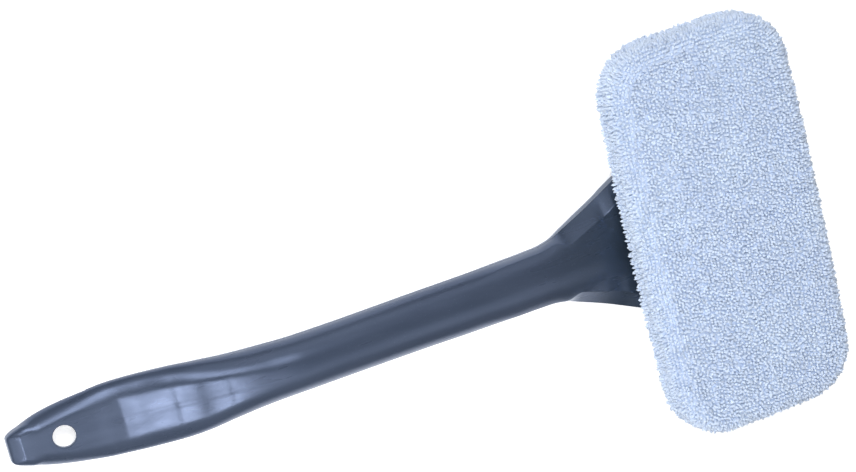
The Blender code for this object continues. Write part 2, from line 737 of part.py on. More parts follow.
def pillow_rings(inset, low, high, low_radius, high_radius, crown):
    """Rings of a padded block in plan, from its back up round its edges to its crowned face."""
    rings = []
    half_width = HEAD_WIDTH / 2 - inset
    half_length = HEAD_LENGTH / 2 - inset
    corner = HEAD_CORNER_RADIUS - inset
    levels = []
    for step in range(CORNER_STEPS + 1):
        angle = QUARTER_TURN * step / CORNER_STEPS
        draw_in = low_radius * (1 - math.sin(angle))
        levels.append((draw_in, low + low_radius * (1 - math.cos(angle))))
    for step in range(CORNER_STEPS + 1):
        angle = QUARTER_TURN * step / CORNER_STEPS
        draw_in = high_radius * (1 - math.cos(angle))
        levels.append((draw_in, high - high_radius * (1 - math.sin(angle))))
    face_reach = half_width - high_radius
    for step in range(1, CURVE_STEPS + 1):
        t = step / (CURVE_STEPS + 1)
        levels.append((high_radius + face_reach * t, high + crown * (1 - (1 - t) ** 2)))
    for draw_in, z in levels:
        radius = max(corner - draw_in, CORNER_FLOOR_RADIUS)
        outline = rounded_rectangle(half_width - draw_in, half_length - draw_in, radius)
        rings.append([Vector((x, y, z)) for x, y in outline])
    return rings


def adhesive_bottom():
    """Height of the underside of the foam's adhesive sheet."""
    return PLATE_BACK_HEIGHT + PLATE_THICKNESS + SEAT_GAP


def foam_bottom():
    return adhesive_bottom() + ADHESIVE_THICKNESS + SEAT_GAP


def foam_top():
    return foam_bottom() + FOAM_THICKNESS


def face_top():
    """Height of the bonnet's outer face at its edge, over the hinge axis."""
    return foam_top() + SEAT_GAP + BONNET_WALL


def adhesive_sheet(head, film, parts):
    """The double-sided sheet that holds the foam to the plate."""
    inset = BONNET_WALL + PLATE_INSET + ADHESIVE_MARGIN
    outline = rounded_rectangle(
        HEAD_WIDTH / 2 - inset, HEAD_LENGTH / 2 - inset, HEAD_CORNER_RADIUS - inset
    )
    mesh = extruded_outline(outline, ADHESIVE_THICKNESS)
    mesh.transform(Matrix.Translation((0, 0, adhesive_bottom() + ADHESIVE_THICKNESS / 2)))
    return add_part(mesh, "foam_adhesive_sheet", head, film, parts)


def foam_pad(head, foam, parts):
    """The foam block on the plate, with its face edges rounded."""
    inset = BONNET_WALL + SEAT_GAP
    edge = FACE_EDGE_RADIUS - BONNET_WALL
    rings = pillow_rings(inset, foam_bottom(), foam_top(), SEAT_GAP, edge, FACE_CROWN)
    return add_part(loft(rings), "foam_pad", head, foam, parts)


def hem_path():
    """Plan of the bonnet's back opening, along the middle of its hem."""
    return rounded_rectangle(OPENING_HALF_WIDTH, OPENING_HALF_LENGTH, OPENING_CORNER_RADIUS)


def hem_height():
    """Height of the middle of the hem over the hinge axis."""
    return PLATE_BACK_HEIGHT - SEAT_GAP - HEM_HEIGHT / 2


def bonnet_cover(head, terry, parts, cutters):
    """The terry bonnet: over the face, round the sides and onto the back of the plate."""
    outer = pillow_rings(
        0.0, BONNET_BACK_HEIGHT, face_top(), BACK_EDGE_RADIUS, FACE_EDGE_RADIUS, FACE_CROWN
    )
    cover = add_part(loft(outer), "bonnet_cover", head, terry, parts)
    back_edge = BACK_EDGE_RADIUS - BONNET_WALL / 2
    edge = FACE_EDGE_RADIUS - BONNET_WALL
    low = PLATE_BACK_HEIGHT - SEAT_GAP
    high = face_top() - BONNET_WALL
    inner = pillow_rings(BONNET_WALL, low, high, back_edge / 2, edge, FACE_CROWN)
    boolean(cover, add_cutter(loft(inner), "bonnet_inside", head, cutters))
    margin = HEM_HALF_WIDTH + SEAT_GAP
    outline = rounded_rectangle(
        OPENING_HALF_WIDTH + margin,
        OPENING_HALF_LENGTH + margin,
        OPENING_CORNER_RADIUS + margin,
    )
    thickness = 2 * (PLATE_BACK_HEIGHT - BONNET_BACK_HEIGHT)
    mesh = extruded_outline(outline, thickness)
    mesh.transform(Matrix.Translation((0, 0, BONNET_BACK_HEIGHT)))
    boolean(cover, add_cutter(mesh, "bonnet_opening", head, cutters))
    return cover


def hem_profile():
    """The folded hem's section, open towards the plate: across the hem, and height."""
    outer = []
    inner = []
    start = HEM_OPEN_DIRECTION - HEM_OPEN_ANGLE / 2
    sweep = 2 * math.pi - HEM_OPEN_ANGLE
    for step in range(HEM_STEPS + 1):
        angle = start - sweep * step / HEM_STEPS
        outer.append((HEM_HALF_WIDTH * math.cos(angle), HEM_HEIGHT / 2 * math.sin(angle)))
        inner.append(
            (
                (HEM_HALF_WIDTH - HEM_CLOTH) * math.cos(angle),
                (HEM_HEIGHT / 2 - HEM_CLOTH) * math.sin(angle),
            )
        )
    return outer + inner[::-1]


def outward_normals(path):
    """Unit normals of a closed plan outline that runs anticlockwise."""
    normals = []
    count = len(path)
    for i in range(count):
        ahead = Vector(path[(i + 1) % count])
        behind = Vector(path[i - 1])
        run = (ahead - behind).normalized()
        normals.append(Vector((run.y, -run.x)))
    return normals


def bonnet_hem(head, binding, parts):
    """The folded hem round the opening, a channel for the elastic."""
    path = hem_path()
    profile = hem_profile()
    rings = []
    for (x, y), normal in zip(path, outward_normals(path)):
        ring = [
            Vector((x + across * normal.x, y + across * normal.y, hem_height() + up))
            for across, up in profile
        ]
        rings.append(ring)
    return add_part(loft(rings, closed=True), "bonnet_hem", head, binding, parts)


def bonnet_elastic(head, rubber, parts):
    """The elastic cord that draws the hem in behind the plate."""
    curve = bpy.data.curves.new("bonnet_elastic", "CURVE")
    curve.dimensions = "3D"
    curve.bevel_depth = ELASTIC_RADIUS
    curve.bevel_resolution = 1
    path = hem_path()
    spline = curve.splines.new("POLY")
    spline.points.add(len(path) - 1)
    for spot, (x, y) in zip(spline.points, path):
        spot.co = (x, y, hem_height(), 1.0)
    spline.use_cyclic_u = True
    curve.materials.append(rubber)
    cord = bpy.data.objects.new("bonnet_elastic", curve)
    cord.parent = head
    parts.objects.link(cord)
    return cord


def resting_lean():
    """Angle that brings the grip's belly down level with the yoke's heel."""
    heel = Section(1.0 - BARREL_BACK / HANDLE_LENGTH)
    heel_height = heel.middle - heel.belly - SEAT_GAP
    angles = []
    for share in ring_places(COVER_START_share, NECK_SCREW_shares[0]):
        section = Section(share)
        height = section.middle - section.belly - SEAT_GAP
        angles.append(math.atan2(heel_height - height, heel.x - section.x))
    return max(angles)


def stand_on_ground(wand, parts):
    """Lean the wand to rest and put the middle of its footprint at the origin."""
    wand.rotation_euler = (0.0, resting_lean(), 0.0)
    bpy.context.view_layer.update()
    graph = bpy.context.evaluated_depsgraph_get()
    corners = []
    for obj in parts.objects:
        if obj.type == "EMPTY":
            continue
        evaluated = obj.evaluated_get(graph)
        mesh = evaluated.to_mesh()
        corners += [evaluated.matrix_world @ vertex.co for vertex in mesh.vertices]
        evaluated.to_mesh_clear()
    points = np.array(corners)
    low = points.min(axis=0)
    high = points.max(axis=0)
    middle = (low + high) / 2
    wand.location = (-middle[0], -middle[1], -low[2])


def main():
    clear_scene()
    parts = new_collection("windshield_cleaning_wand")
    cutters = new_collection("cutters")
    wand = new_empty("wand", None, parts)
    handle = new_empty("handle", wand, parts)
    head = new_empty("head_on_hinge_axis", wand, parts)
    plastic = new_material("slate_plastic", (0.060, 0.078, 0.115), 0.32)
    steel = new_material("zinc_steel", (0.62, 0.63, 0.65), 0.35, 1.0)
    terry = new_material("blue_terry", (0.47, 0.57, 0.77), 0.95)
    foam = new_material("grey_foam", (0.55, 0.56, 0.58), 0.95)
    film = new_material("clear_adhesive", (0.72, 0.72, 0.70), 0.40)
    binding = new_material("blue_binding", (0.36, 0.45, 0.65), 0.85)
    rubber = new_material("white_elastic", (0.80, 0.80, 0.78), 0.70)
    front_shell(handle, plastic, parts, cutters)
    back_shell(handle, plastic, parts, cutters)
    handle_screws(handle, steel, parts, cutters)
    head_plate(head, plastic, parts, cutters)
    hinge_pin_and_caps(head, steel, plastic, parts)
    adhesive_sheet(head, film, parts)
    foam_pad(head, foam, parts)
    bonnet_cover(head, terry, parts, cutters)
    bonnet_hem(head, binding, parts)
    bonnet_elastic(head, rubber, parts)
    stand_on_ground(wand, parts)


main()
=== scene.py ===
"""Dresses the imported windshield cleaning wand.

The handle's shells are rebuilt finely from the same cross-sections as the solids. The head gets
its foam, a terry bonnet covered in yarn loops, a folded hem and its elastic. Every piece stands
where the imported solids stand. Lengths are in metres.
"""

import json
import math

import bmesh
import bpy
import numpy as np
from mathutils import Matrix, Vector, noise


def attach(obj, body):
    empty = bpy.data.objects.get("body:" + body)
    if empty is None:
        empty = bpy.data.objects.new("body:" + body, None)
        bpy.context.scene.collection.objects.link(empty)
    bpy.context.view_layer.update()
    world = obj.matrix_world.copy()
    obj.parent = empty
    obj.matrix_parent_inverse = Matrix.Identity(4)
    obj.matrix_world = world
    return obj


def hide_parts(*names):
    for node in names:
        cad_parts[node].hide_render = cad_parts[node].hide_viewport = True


bl_info = {
    "name": "Windshield Cleaning Wand",
    "version": (1, 0, 0),
    "blender": (4, 5, 0),
    "location": "3D View > Sidebar > Wand",
    "description": "Plastic shells, a looped terry bonnet, foam and a pale stage for the wand",
    "category": "Object",
}

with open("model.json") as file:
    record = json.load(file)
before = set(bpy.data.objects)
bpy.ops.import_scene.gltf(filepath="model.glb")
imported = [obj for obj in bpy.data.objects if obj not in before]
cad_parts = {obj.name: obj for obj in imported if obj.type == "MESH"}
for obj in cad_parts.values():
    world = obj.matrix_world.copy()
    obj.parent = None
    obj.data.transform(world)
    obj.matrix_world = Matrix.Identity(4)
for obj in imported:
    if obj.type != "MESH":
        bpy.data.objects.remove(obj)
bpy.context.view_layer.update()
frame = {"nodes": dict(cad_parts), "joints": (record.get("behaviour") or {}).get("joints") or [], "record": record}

# The wand leans at rest: its own frame has the hinge along Y and the neck along X.
HINGE = Vector(frame["joints"][0]["pos_m"])
MOUNTS = {mount["name"]: mount for mount in frame["record"]["mounts"]}
LEAN = math.asin(MOUNTS["cleaning_face"]["axis"][0])
TO_WORLD = Matrix.Translation(HINGE) @ Matrix.Rotation(LEAN, 4, "Y")

# Handle sizes
HANDLE_LENGTH = 0.3262
GRIP_HALF_WIDTH = 0.0168
GRIP_CROWN = 0.0128
GRIP_BELLY = 0.0100
TIP_DROP = 0.0285
YOKE_HALF_SPAN = 0.050
SEAT_GAP = 0.0003
PIN_CLEARANCE = 0.0001
OVERRUN = 0.002
SHELL_WALL = 0.0022
RIB_THICKNESS = 0.0016
HANG_HOLE_RADIUS = 0.0050
HANG_HOLE_CHAMFER = 0.0003
BARREL_RADIUS = 0.0065
BARREL_BACK = 0.0080
BARREL_EDGE = 0.0006
PIN_RADIUS = 0.0015
SCREW_RADIUS = 0.0014
SCREW_HEAD_RADIUS = 0.0028
SCREW_CLEARANCE = 0.0003
SCREW_SEAT_DEPTH = 0.0030
NECK_SCREW_LENGTH = 0.0095
GRIP_SCREW_LENGTH = 0.0058
YOKE_SCREW_LENGTH = 0.0058
BOSS_WALL = 0.0016
TIP_ROUNDING = 0.0008
CREASE_ROUNDING = 0.00020
SINK_DEPTH = 0.00006
SINK_WIDTH = 0.0011
GATE_PIP_RADIUS = 0.0005
GATE_PIP_HEIGHT = 0.00025
GATE_PIP_PLACE = (-0.0851, 0.0020)

# How far from a rib its sink mark reaches, in widths of the mark
SINK_REACH = 4.0

# Points nearer than these are merged, and edges sharper than these angles stay hard
MERGE_DISTANCE = 0.000002
WELD_DISTANCE = 0.00001
SHARP_ANGLE = math.radians(34)
CLOTH_SHARP_ANGLE = math.radians(80)
TINY = 1e-12

# How finely curves, hollows and round forms are split
HOLLOW_SPACING = 0.004
TIP_HOLLOW_SPACING = 0.002
HOLLOW_STEPS = 6
TIP_HOLLOW_STEPS = 12
BACK_HOLLOW_STEPS = 9
SCREW_SIDES = 24
WELL_SIDES = 48
HANG_HOLE_SIDES = 96
BORE_SIDES = 32
BARREL_SIDES = 72
BARREL_EDGE_STEPS = 5
GATE_PIP_SIDES = 16
GATE_PIP_CURVE_STEPS = 12
CORNER_STEPS = 14
SIDE_STEPS = 24
END_STEPS = 10
BACK_EDGE_STEPS = 7
UNDER_STEPS = 6
WALL_STEPS = 6
FACE_EDGE_STEPS = 9
FACE_STEPS = 14

# Places along the handle, as shares of its length from the tip to the hinge
TIP_LAND_shares = (0.017, 0.110)
HANG_HOLE_share = 0.0711
COVER_START_share = 0.117
RIB_shares = (0.149, 0.220, 0.289)
GRIP_SCREW_share = 0.220
NECK_SCREW_shares = (0.520, 0.732)
YOKE_SCREW_share = 0.912
YOKE_SCREW_SPAN_share = 0.56
TIP_RING_shares = (0.06, 0.2, 0.45, 0.75)
SINK_FADE_shares = (0.01, 0.02)
GATE_PIP_shares = ((1.0, 0.0), (0.8, 1.0), (0.3, 1.2))
BACK_SPACING_share = 1.4

SECTION_shares = {
    "tip": ((1.0, 0.350), (0.985, 0.550), (0.940, 0.800), (0.660, 0.930), (0.450, 1.0)),
    "oval": ((1.0, 0.364), (0.766, 0.643), (0.624, 0.813), (0.423, 0.906), (0.222, 1.0)),
    "loaf": ((1.0, 0.270), (0.920, 0.510), (0.750, 0.745), (0.500, 0.885), (0.270, 1.0)),
    "flare": ((0.826, 0.340), (0.653, 0.680), (0.600, 0.730), (0.540, 0.790), (0.280, 1.0)),
    "hood": ((0.840, 0.330), (0.680, 0.660), (0.560, 0.690), (0.440, 0.740), (0.240, 1.0)),
    "roof": ((0.866, 0.420), (0.730, 0.850), (0.560, 0.910), (0.400, 0.950), (0.200, 1.0)),
}
SQUARENESS_shares = {
    "tip": 0.7,
    "oval": 1.0,
    "loaf": 0.80,
    "flare": 0.60,
    "hood": 0.42,
    "roof": 0.34,
}

# Share along the handle, drop of the mid line, half width, spread to the yoke's, crown, belly
# and the cross-section.
STATION_shares = (
    (0.000, 1.030, 0.335, 0.000, 0.340, 0.300, "tip"),
    (0.004, 1.025, 0.405, 0.000, 0.380, 0.310, "tip"),
    (0.022, 1.005, 0.540, 0.000, 0.460, 0.340, "tip"),
    (0.045, 0.965, 0.700, 0.000, 0.520, 0.360, "oval"),
    (0.075, 0.895, 0.825, 0.000, 0.545, 0.400, "oval"),
    (0.110, 0.790, 0.920, 0.000, 0.475, 0.480, "oval"),
    (0.120, 0.760, 0.945, 0.000, 0.450, 0.560, "oval"),
    (0.140, 0.708, 0.975, 0.000, 0.420, 0.950, "oval"),
    (0.177, 0.572, 0.995, 0.000, 0.435, 1.150, "oval"),
    (0.216, 0.415, 0.985, 0.000, 0.490, 1.250, "oval"),
    (0.253, 0.300, 0.935, 0.000, 0.600, 1.230, "oval"),
    (0.293, 0.250, 0.850, 0.000, 0.700, 1.180, "oval"),
    (0.338, 0.210, 0.785, 0.000, 0.770, 1.100, "oval"),
    (0.390, 0.140, 0.750, 0.000, 0.780, 1.030, "oval"),
    (0.451, 0.107, 0.745, 0.000, 0.775, 0.985, "oval"),
    (0.560, 0.068, 0.755, 0.000, 0.770, 0.960, "oval"),
    (0.634, 0.020, 0.766, 0.000, 0.770, 0.940, "oval"),
    (0.700, 0.000, 0.768, 0.000, 0.765, 0.910, "loaf"),
    (0.744, 0.000, 0.768, 0.007, 0.750, 0.880, "loaf"),
    (0.766, 0.000, 0.768, 0.038, 0.720, 0.860, "loaf"),
    (0.792, 0.000, 0.768, 0.128, 0.685, 0.840, "flare"),
    (0.828, 0.000, 0.768, 0.262, 0.620, 0.820, "hood"),
    (0.845, 0.000, 0.768, 0.333, 0.560, 0.815, "hood"),
    (0.868, 0.000, 0.768, 0.433, 0.460, 0.810, "roof"),
    (0.908, 0.000, 0.768, 0.605, 0.370, 0.800, "roof"),
    (0.958, 0.000, 0.768, 0.820, 0.300, 0.780, "roof"),
    (0.985, 0.000, 0.768, 0.935, 0.290, 0.760, "roof"),
)

# The thumb panel: share along the handle, height as a share of the crown, dishing
PANEL_DISH = 0.0006
PANEL_DISH_POWER = 1.35
PANEL_REACH = GRIP_HALF_WIDTH + OVERRUN
PANEL_shares = (
    (0.000, 0.720, 0.0),
    (0.017, 0.960, 0.0),
    (0.110, 0.835, 0.0),
    (0.145, 0.815, 0.5),
    (0.177, 0.815, 0.9),
    (0.216, 0.820, 1.0),
    (0.253, 0.845, 0.9),
    (0.293, 0.895, 0.6),
    (0.338, 0.955, 0.2),
    (0.390, 1.010, 0.0),
    (0.450, 1.090, 0.0),
    (0.560, 1.500, 0.0),
)

# Head sizes, heights measured up from the hinge
HEAD_LENGTH = 0.180
HEAD_WIDTH = 0.088
BONNET_BACK_HEIGHT = 0.0080
PLATE_BACK_HEIGHT = 0.0112
FOAM_BOTTOM = 0.0146
FOAM_TOP = 0.0274
FACE_TOP = 0.0312
FACE_CROWN = 0.0008
HEAD_CORNER_RADIUS = 0.0215
FACE_EDGE_RADIUS = 0.0085
BACK_EDGE_RADIUS = 0.0050
FOAM_INSET = 0.0038
FOAM_EDGE_RADIUS = 0.0050
CLOTH = 0.0007
SIDE_BOW = 0.0010
END_BOW = 0.0012
OPENING_HALF_LENGTH = 0.0700
OPENING_HALF_WIDTH = 0.0270
OPENING_CORNER_RADIUS = 0.0150
HEM_HALF_WIDTH = 0.0026
HEM_HEIGHT = 0.0036
ELASTIC_RADIUS = 0.0009
BONNET_WAIST = 0.0005
FOAM_WAIST = 0.0004
SMALLEST_CORNER = 0.004
UNEVEN_HEIGHT = 0.0005
UNEVEN_SCALE = 42.0
CROWN_POWERS = (2.5, 4)
END_BOW_FALL = 1.5

# The hem: how its section sweeps round, its faces' insets sideways and upright, its gathers
HEM_STEPS = 360
HEM_SWEEP = (math.radians(84), math.radians(-264))
HEM_SWEEP_STEPS = 22
HEM_INSETS = ((0.0002, 0.0002), (0.0008, 0.0007))
GATHER_HEIGHT = 0.00022
GATHER_TURN = 1.05
CREASE_HEIGHT = 0.00012
CREASE_SCALE = 900
ELASTIC_STEPS = 180
ELASTIC_SIDES = 12

# The pile: how deep it stands, how it strays from its rows, and where the hood presses it flat
PILE_DEPTH_share = 0.86
BACK_DEPTH_share = 0.6
BACK_LOOP_share = 0.62
SPOT_JITTER_share = 0.13
FEWEST_LOOPS = 8
FACE_JITTER = 0.00024
WANDER = 0.0009
WANDER_SCALES = (30, 18)
PRESSED_share = 0.25
PRESSED_HEIGHT = 0.0035
PRESSED_INSET = 0.0160

# One loop: its bow's height and widths as shares of the settings, its steps and its sides
BOW_HEIGHT_share = 1.25
BOW_WIDTH_share = 1.1
BOW_FOOT_share = 0.22
BOW_STEPS = 6
YARN_SIDES = 4
LOOP_VARIATION_shares = (0.72, 1.28)

# Patterns of the finishes: repeats per metre, and stretches along the axes
FLOW_STRETCH = (14.0, 90.0, 90.0)
FLOW_GLOSS_SCALE = 2.3
# Places along the wand over which painted shade deepens the plastic, for the head's shadow on the yoke
YOKE_SHADE_PLACES = (0.050, 0.120)
GRAIN_SCALE = 1500.0
CAP_GRAIN_SCALE = 900.0
BRUSHED_STRETCH = (2600.0, 300.0, 2600.0)
MOTTLE_SCALE = 700.0
PATCH_SCALE = 45.0
FIBRE_SCALE = 5200.0
CELL_SCALE = 1100.0
HEM_RIB_SCALE = 260.0
BRAID_SCALE = 380.0
BUBBLE_SCALE = 600.0
FLOOR_SCALE = 3.0

# Strength and depth of each finish's bumps
GRAIN_BUMP = (0.14, 0.00008)
CAP_GRAIN_BUMP = (0.1, 0.0001)
BRUSHED_BUMP = (0.15, 0.00005)
FIBRE_BUMP = (0.5, 0.00015)
CELL_BUMP = (0.6, 0.0005)
HEM_RIB_BUMP = (0.5, 0.0002)
BRAID_BUMP = (0.4, 0.0002)

# Which part of a pattern's range counts, and the roughnesses that it is spread over
NOISE_RANGE = (0.3, 0.7)
FLOW_RANGE = (0.35, 0.65)
SPECK_RANGE = (0.62, 0.74)
# The part of a loop's rise over which its painted root shade gives way to the tip colour
ROOT_SHADE_RISE_RANGE = (0.05, 0.85)
WORN_RANGE = (0.5, 0.8)
CELL_RANGE = (0.0, 0.6)
BUBBLE_RANGE = (0.55, 0.7)
PLASTIC_ROUGHNESS = (0.26, 0.33)
CAP_ROUGHNESS = (0.34, 0.44)
STEEL_ROUGHNESS = (0.24, 0.42)
FILM_ROUGHNESS = (0.3, 0.5)

# How far a colour is tinted, and how much of the tint is mixed in
SPECK_TINT_share = 2.2
SPECK_MIX_share = 0.35
CAP_TINT_share = 0.8
COOL_TINT_share = 0.88
COOL_MIX_share = 0.55
WORN_TINT_share = 1.06
WORN_MIX_share = 0.35
HEM_TINT_shares = (0.75, 1.45)
FLOOR_TINT_share = 0.99

# Deeper and paler colours of the finishes that no setting gives
STEEL_COLOURS = ((0.48, 0.49, 0.52), (0.70, 0.71, 0.74))
FOAM_COLOURS = ((0.30, 0.31, 0.33), (0.62, 0.63, 0.65))
ELASTIC_COLOURS = ((0.62, 0.62, 0.60), (0.85, 0.85, 0.83))
FILM_COLOURS = ((0.66, 0.66, 0.62), (0.82, 0.82, 0.80))
WHITE = (1.0, 1.0, 1.0)

# The floor, and the heights between which the world's light grows, as parts of straight up
FLOOR_HALF_WIDTH = 3.0
SKY_RISE = (0.05, 0.35)

# Lamps: the place on the grip that all but the side lamps aim at, directions and sizes
GRIP_PLACE = (-0.12, 0.0, 0.0)
LAMP_DISTANCE = 1.2
KEY_DIRECTION = (-0.10, 0.46, 0.86)
KEY_SIZE = (0.60, 0.40)
SIDE_DIRECTIONS = {"left_lamp": (0.24, 0.80, 0.50), "right_lamp": (0.24, -0.55, 0.80)}
SIDE_SIZE = (0.9, 0.55)
# Small lamps that the thumb panel mirrors: direction, distance, size and share of their power
PANEL_LAMPS = {
    "panel_lamp": ((-0.310, -0.205, 0.570), 0.65, (0.14, 0.15), 1.0),
    "panel_end_lamp": ((0.012, -0.064, 0.200), 0.21, (0.035, 0.060), 0.07),
}

# The photograph's view, in the wand's own frame
CAMERA_PLACE = Vector((-0.53726, 0.40159, 1.17459))
CAMERA_AIM = Vector((-0.12629, 0.03198, -0.01062))
CAMERA_ROLL = math.radians(114.965)
CAMERA_LENS = 126.17
CAMERA_SENSOR = 36.0
CAMERA_NEAR = 0.01


# Settings that a user would change

COLOUR = {"subtype": "COLOR", "min": 0.0, "max": 1.0}


class WandHandleSettings(bpy.types.PropertyGroup):
    """Sizes and colours of the plastic."""

    ring_spacing: bpy.props.FloatProperty(
        name="Ring Spacing",
        description="Distance between the rings of the handle's surface",
        default=0.0009,
        min=0.0004,
        unit="LENGTH",
    )
    curve_steps: bpy.props.IntProperty(
        name="Curve Steps",
        description="Steps along each curve of the cross-section",
        default=18,
        min=6,
    )
    plastic_colour: bpy.props.FloatVectorProperty(
        name="Plastic",
        description="Colour of the moulded handle",
        default=(0.034, 0.046, 0.074),
        **COLOUR,
    )
    plastic_flow_colour: bpy.props.FloatVectorProperty(
        name="Flow Marks",
        description="Colour of the paler flow marks in the plastic",
        default=(0.044, 0.058, 0.090),
        **COLOUR,
    )
    # Painted shade: the head's shadow on the yoke, painted into the plastic's colour towards the head
    yoke_shade_colour: bpy.props.FloatVectorProperty(
        name="Yoke",
        description="Deeper tone that the plastic takes towards the head",
        default=(0.014, 0.024, 0.034),
        **COLOUR,
    )


class WandTerrySettings(bpy.types.PropertyGroup):
    """Sizes and colours of the bonnet's pile."""

    row_pitch: bpy.props.FloatProperty(
        name="Row Pitch",
        description="Distance between rows of loops",
        default=0.0016,
        min=0.001,
        unit="LENGTH",
    )
    loop_pitch: bpy.props.FloatProperty(
        name="Loop Pitch",
        description="Distance between loops along a row",
        default=0.0014,
        min=0.001,
        unit="LENGTH",
    )
    loop_height: bpy.props.FloatProperty(
        name="Loop Height",
        description="Height of a loop above the cloth",
        default=0.0021,
        min=0.0005,
        unit="LENGTH",
    )
    loop_width: bpy.props.FloatProperty(
        name="Loop Width",
        description="Width of a loop's bow, which sets how open it is",
        default=0.0004,
        min=0.0002,
        unit="LENGTH",
    )
    yarn_radius: bpy.props.FloatProperty(
        name="Yarn Radius",
        description="Radius of the yarn that the loops are made of",
        default=0.00060,
        min=0.0001,
        unit="LENGTH",
    )
    tilt: bpy.props.FloatProperty(
        name="Tilt",
        description="Most that a loop leans from the cloth's normal",
        default=math.radians(19),
        subtype="ANGLE",
    )
    seed: bpy.props.IntProperty(
        name="Seed",
        description="Seed of the loops' random lean and size",
        default=7,
    )
    tip_colour: bpy.props.FloatVectorProperty(
        name="Loop Tips",
        description="Colour of the yarn at the tips of the loops",
        default=(0.74, 0.83, 0.97),
        **COLOUR,
    )
    # Painted shade: the loops' roots and the cloth between them are painted deeper than the tips
    shaded_root_colour: bpy.props.FloatVectorProperty(
        name="Loop Roots",
        description="Colour of the yarn and the cloth between the loops",
        default=(0.68, 0.78, 0.95),
        **COLOUR,
    )


class WandStageSettings(bpy.types.PropertyGroup):
    """Floor, lamps and camera."""

    floor_colour: bpy.props.FloatVectorProperty(
        name="Floor",
        description="Colour of the pale floor",
        default=(0.92, 0.92, 0.92),
        **COLOUR,
    )
    key_power: bpy.props.FloatProperty(
        name="Key Lamp",
        description="Power of the large soft lamp above the grip",
        default=9.0,
        unit="POWER",
    )
    panel_power: bpy.props.FloatProperty(
        name="Panel Lamps",
        description="Power of the small lamps that the thumb panel mirrors",
        default=1.85,
        unit="POWER",
    )
    side_power: bpy.props.FloatProperty(
        name="Side Lamps",
        description="Power of each of the two soft lamps at the sides",
        default=2.0,
        unit="POWER",
    )
    sky_light: bpy.props.FloatProperty(
        name="Sky Light",
        description="Strength of the world's light above the horizon",
        default=0.22,
        min=0.0,
    )
    horizon_light: bpy.props.FloatProperty(
        name="Horizon Light",
        description="Strength of the world's light at the horizon",
        default=0.08,
        min=0.0,
    )
    floor_lift: bpy.props.FloatProperty(
        name="Floor Lift",
        description="Glow that whitens the floor as the camera sees it",
        default=0.60,
        min=0.0,
    )
    cool_glow: bpy.props.FloatVectorProperty(
        name="Cool Glow",
        description="Colour of the floor's glow in reflections",
        default=(0.74, 0.84, 1.0),
        **COLOUR,
    )


# Shaders

# The Mix node's factor and colour inputs, and its colour output, by their order
MIX_INPUTS = (0, 6, 7)
MIX_RESULT = 2


def add_node(tree, kind, inputs=None, **settings):
    """Add a node, set its settings, and set or link its inputs."""
    item = tree.nodes.new(kind)
    for name, value in settings.items():
        setattr(item, name, value)
    for name, value in (inputs or {}).items():
        if isinstance(value, bpy.types.NodeSocket):
            tree.links.new(value, item.inputs[name])
        else:
            item.inputs[name].default_value = value
    return item


def first_output(tree, kind, inputs=None, **settings):
    """Add a node and give its first output."""
    return add_node(tree, kind, inputs, **settings).outputs[0]


def new_material(name, **constants):
    """A material with its own shader, constants set on the shader's sockets."""
    material = bpy.data.materials.new(name)
    material.use_nodes = True
    shader = material.node_tree.nodes["Principled BSDF"]
    for socket, value in constants.items():
        shader.inputs[socket.replace("_", " ")].default_value = value
    return material, material.node_tree, shader


def connect(tree, shader, **values):
    """Link values to the shader's sockets."""
    for socket, value in values.items():
        tree.links.new(value, shader.inputs[socket.replace("_", " ")])


def object_place(tree, stretch=(1.0, 1.0, 1.0)):
    """Object coordinates, stretched along the axes."""
    place = add_node(tree, "ShaderNodeTexCoord").outputs["Object"]
    return first_output(tree, "ShaderNodeMapping", {"Vector": place, "Scale": stretch})


def noise_value(tree, vector, scale, detail=2.0, roughness=0.5):
    """A noise texture's value."""
    inputs = {"Vector": vector, "Scale": scale, "Detail": detail, "Roughness": roughness}
    return add_node(tree, "ShaderNodeTexNoise", inputs).outputs["Fac"]


def slanting_bands(tree, scale, distortion, detail=2.0):
    """Fine slanting bands, as of threads laid side by side."""
    inputs = {"Vector": object_place(tree), "Scale": scale}
    inputs |= {"Distortion": distortion, "Detail": detail}
    bands = add_node(
        tree, "ShaderNodeTexWave", inputs, wave_type="BANDS", bands_direction="DIAGONAL"
    )
    return bands.outputs["Fac"]


def spread(tree, value, low, high, to_low=0.0, to_high=1.0):
    """Stretch a value's range."""
    inputs = {0: value, 1: low, 2: high, 3: to_low, 4: to_high}
    return first_output(tree, "ShaderNodeMapRange", inputs)


def mixed_colour(tree, factor, first, second):
    """A mix of two colours or colour sockets."""
    values = [factor]
    for colour in (first, second):
        values.append(colour if isinstance(colour, bpy.types.NodeSocket) else (*colour, 1.0))
    mix = add_node(tree, "ShaderNodeMix", dict(zip(MIX_INPUTS, values)), data_type="RGBA")
    return mix.outputs[MIX_RESULT]


def maths(tree, operation, first, second):
    """A sum, product or other working of two values."""
    return first_output(tree, "ShaderNodeMath", {0: first, 1: second}, operation=operation)


def times(tree, value, factor):
    """A value times a factor."""
    return maths(tree, "MULTIPLY", value, factor)


def joined_vector(tree, x, y, z):
    """A vector of three values."""
    return first_output(tree, "ShaderNodeCombineXYZ", {0: x, 1: y, 2: z})


def tinted(colour, share):
    """A deeper or paler tint of a colour, nowhere past white."""
    return tuple(min(1.0, share * part) for part in colour)


def bump(tree, height, strength, depth):
    """A bump from a height."""
    inputs = {"Height": height, "Strength": strength, "Distance": depth}
    return first_output(tree, "ShaderNodeBump", inputs)


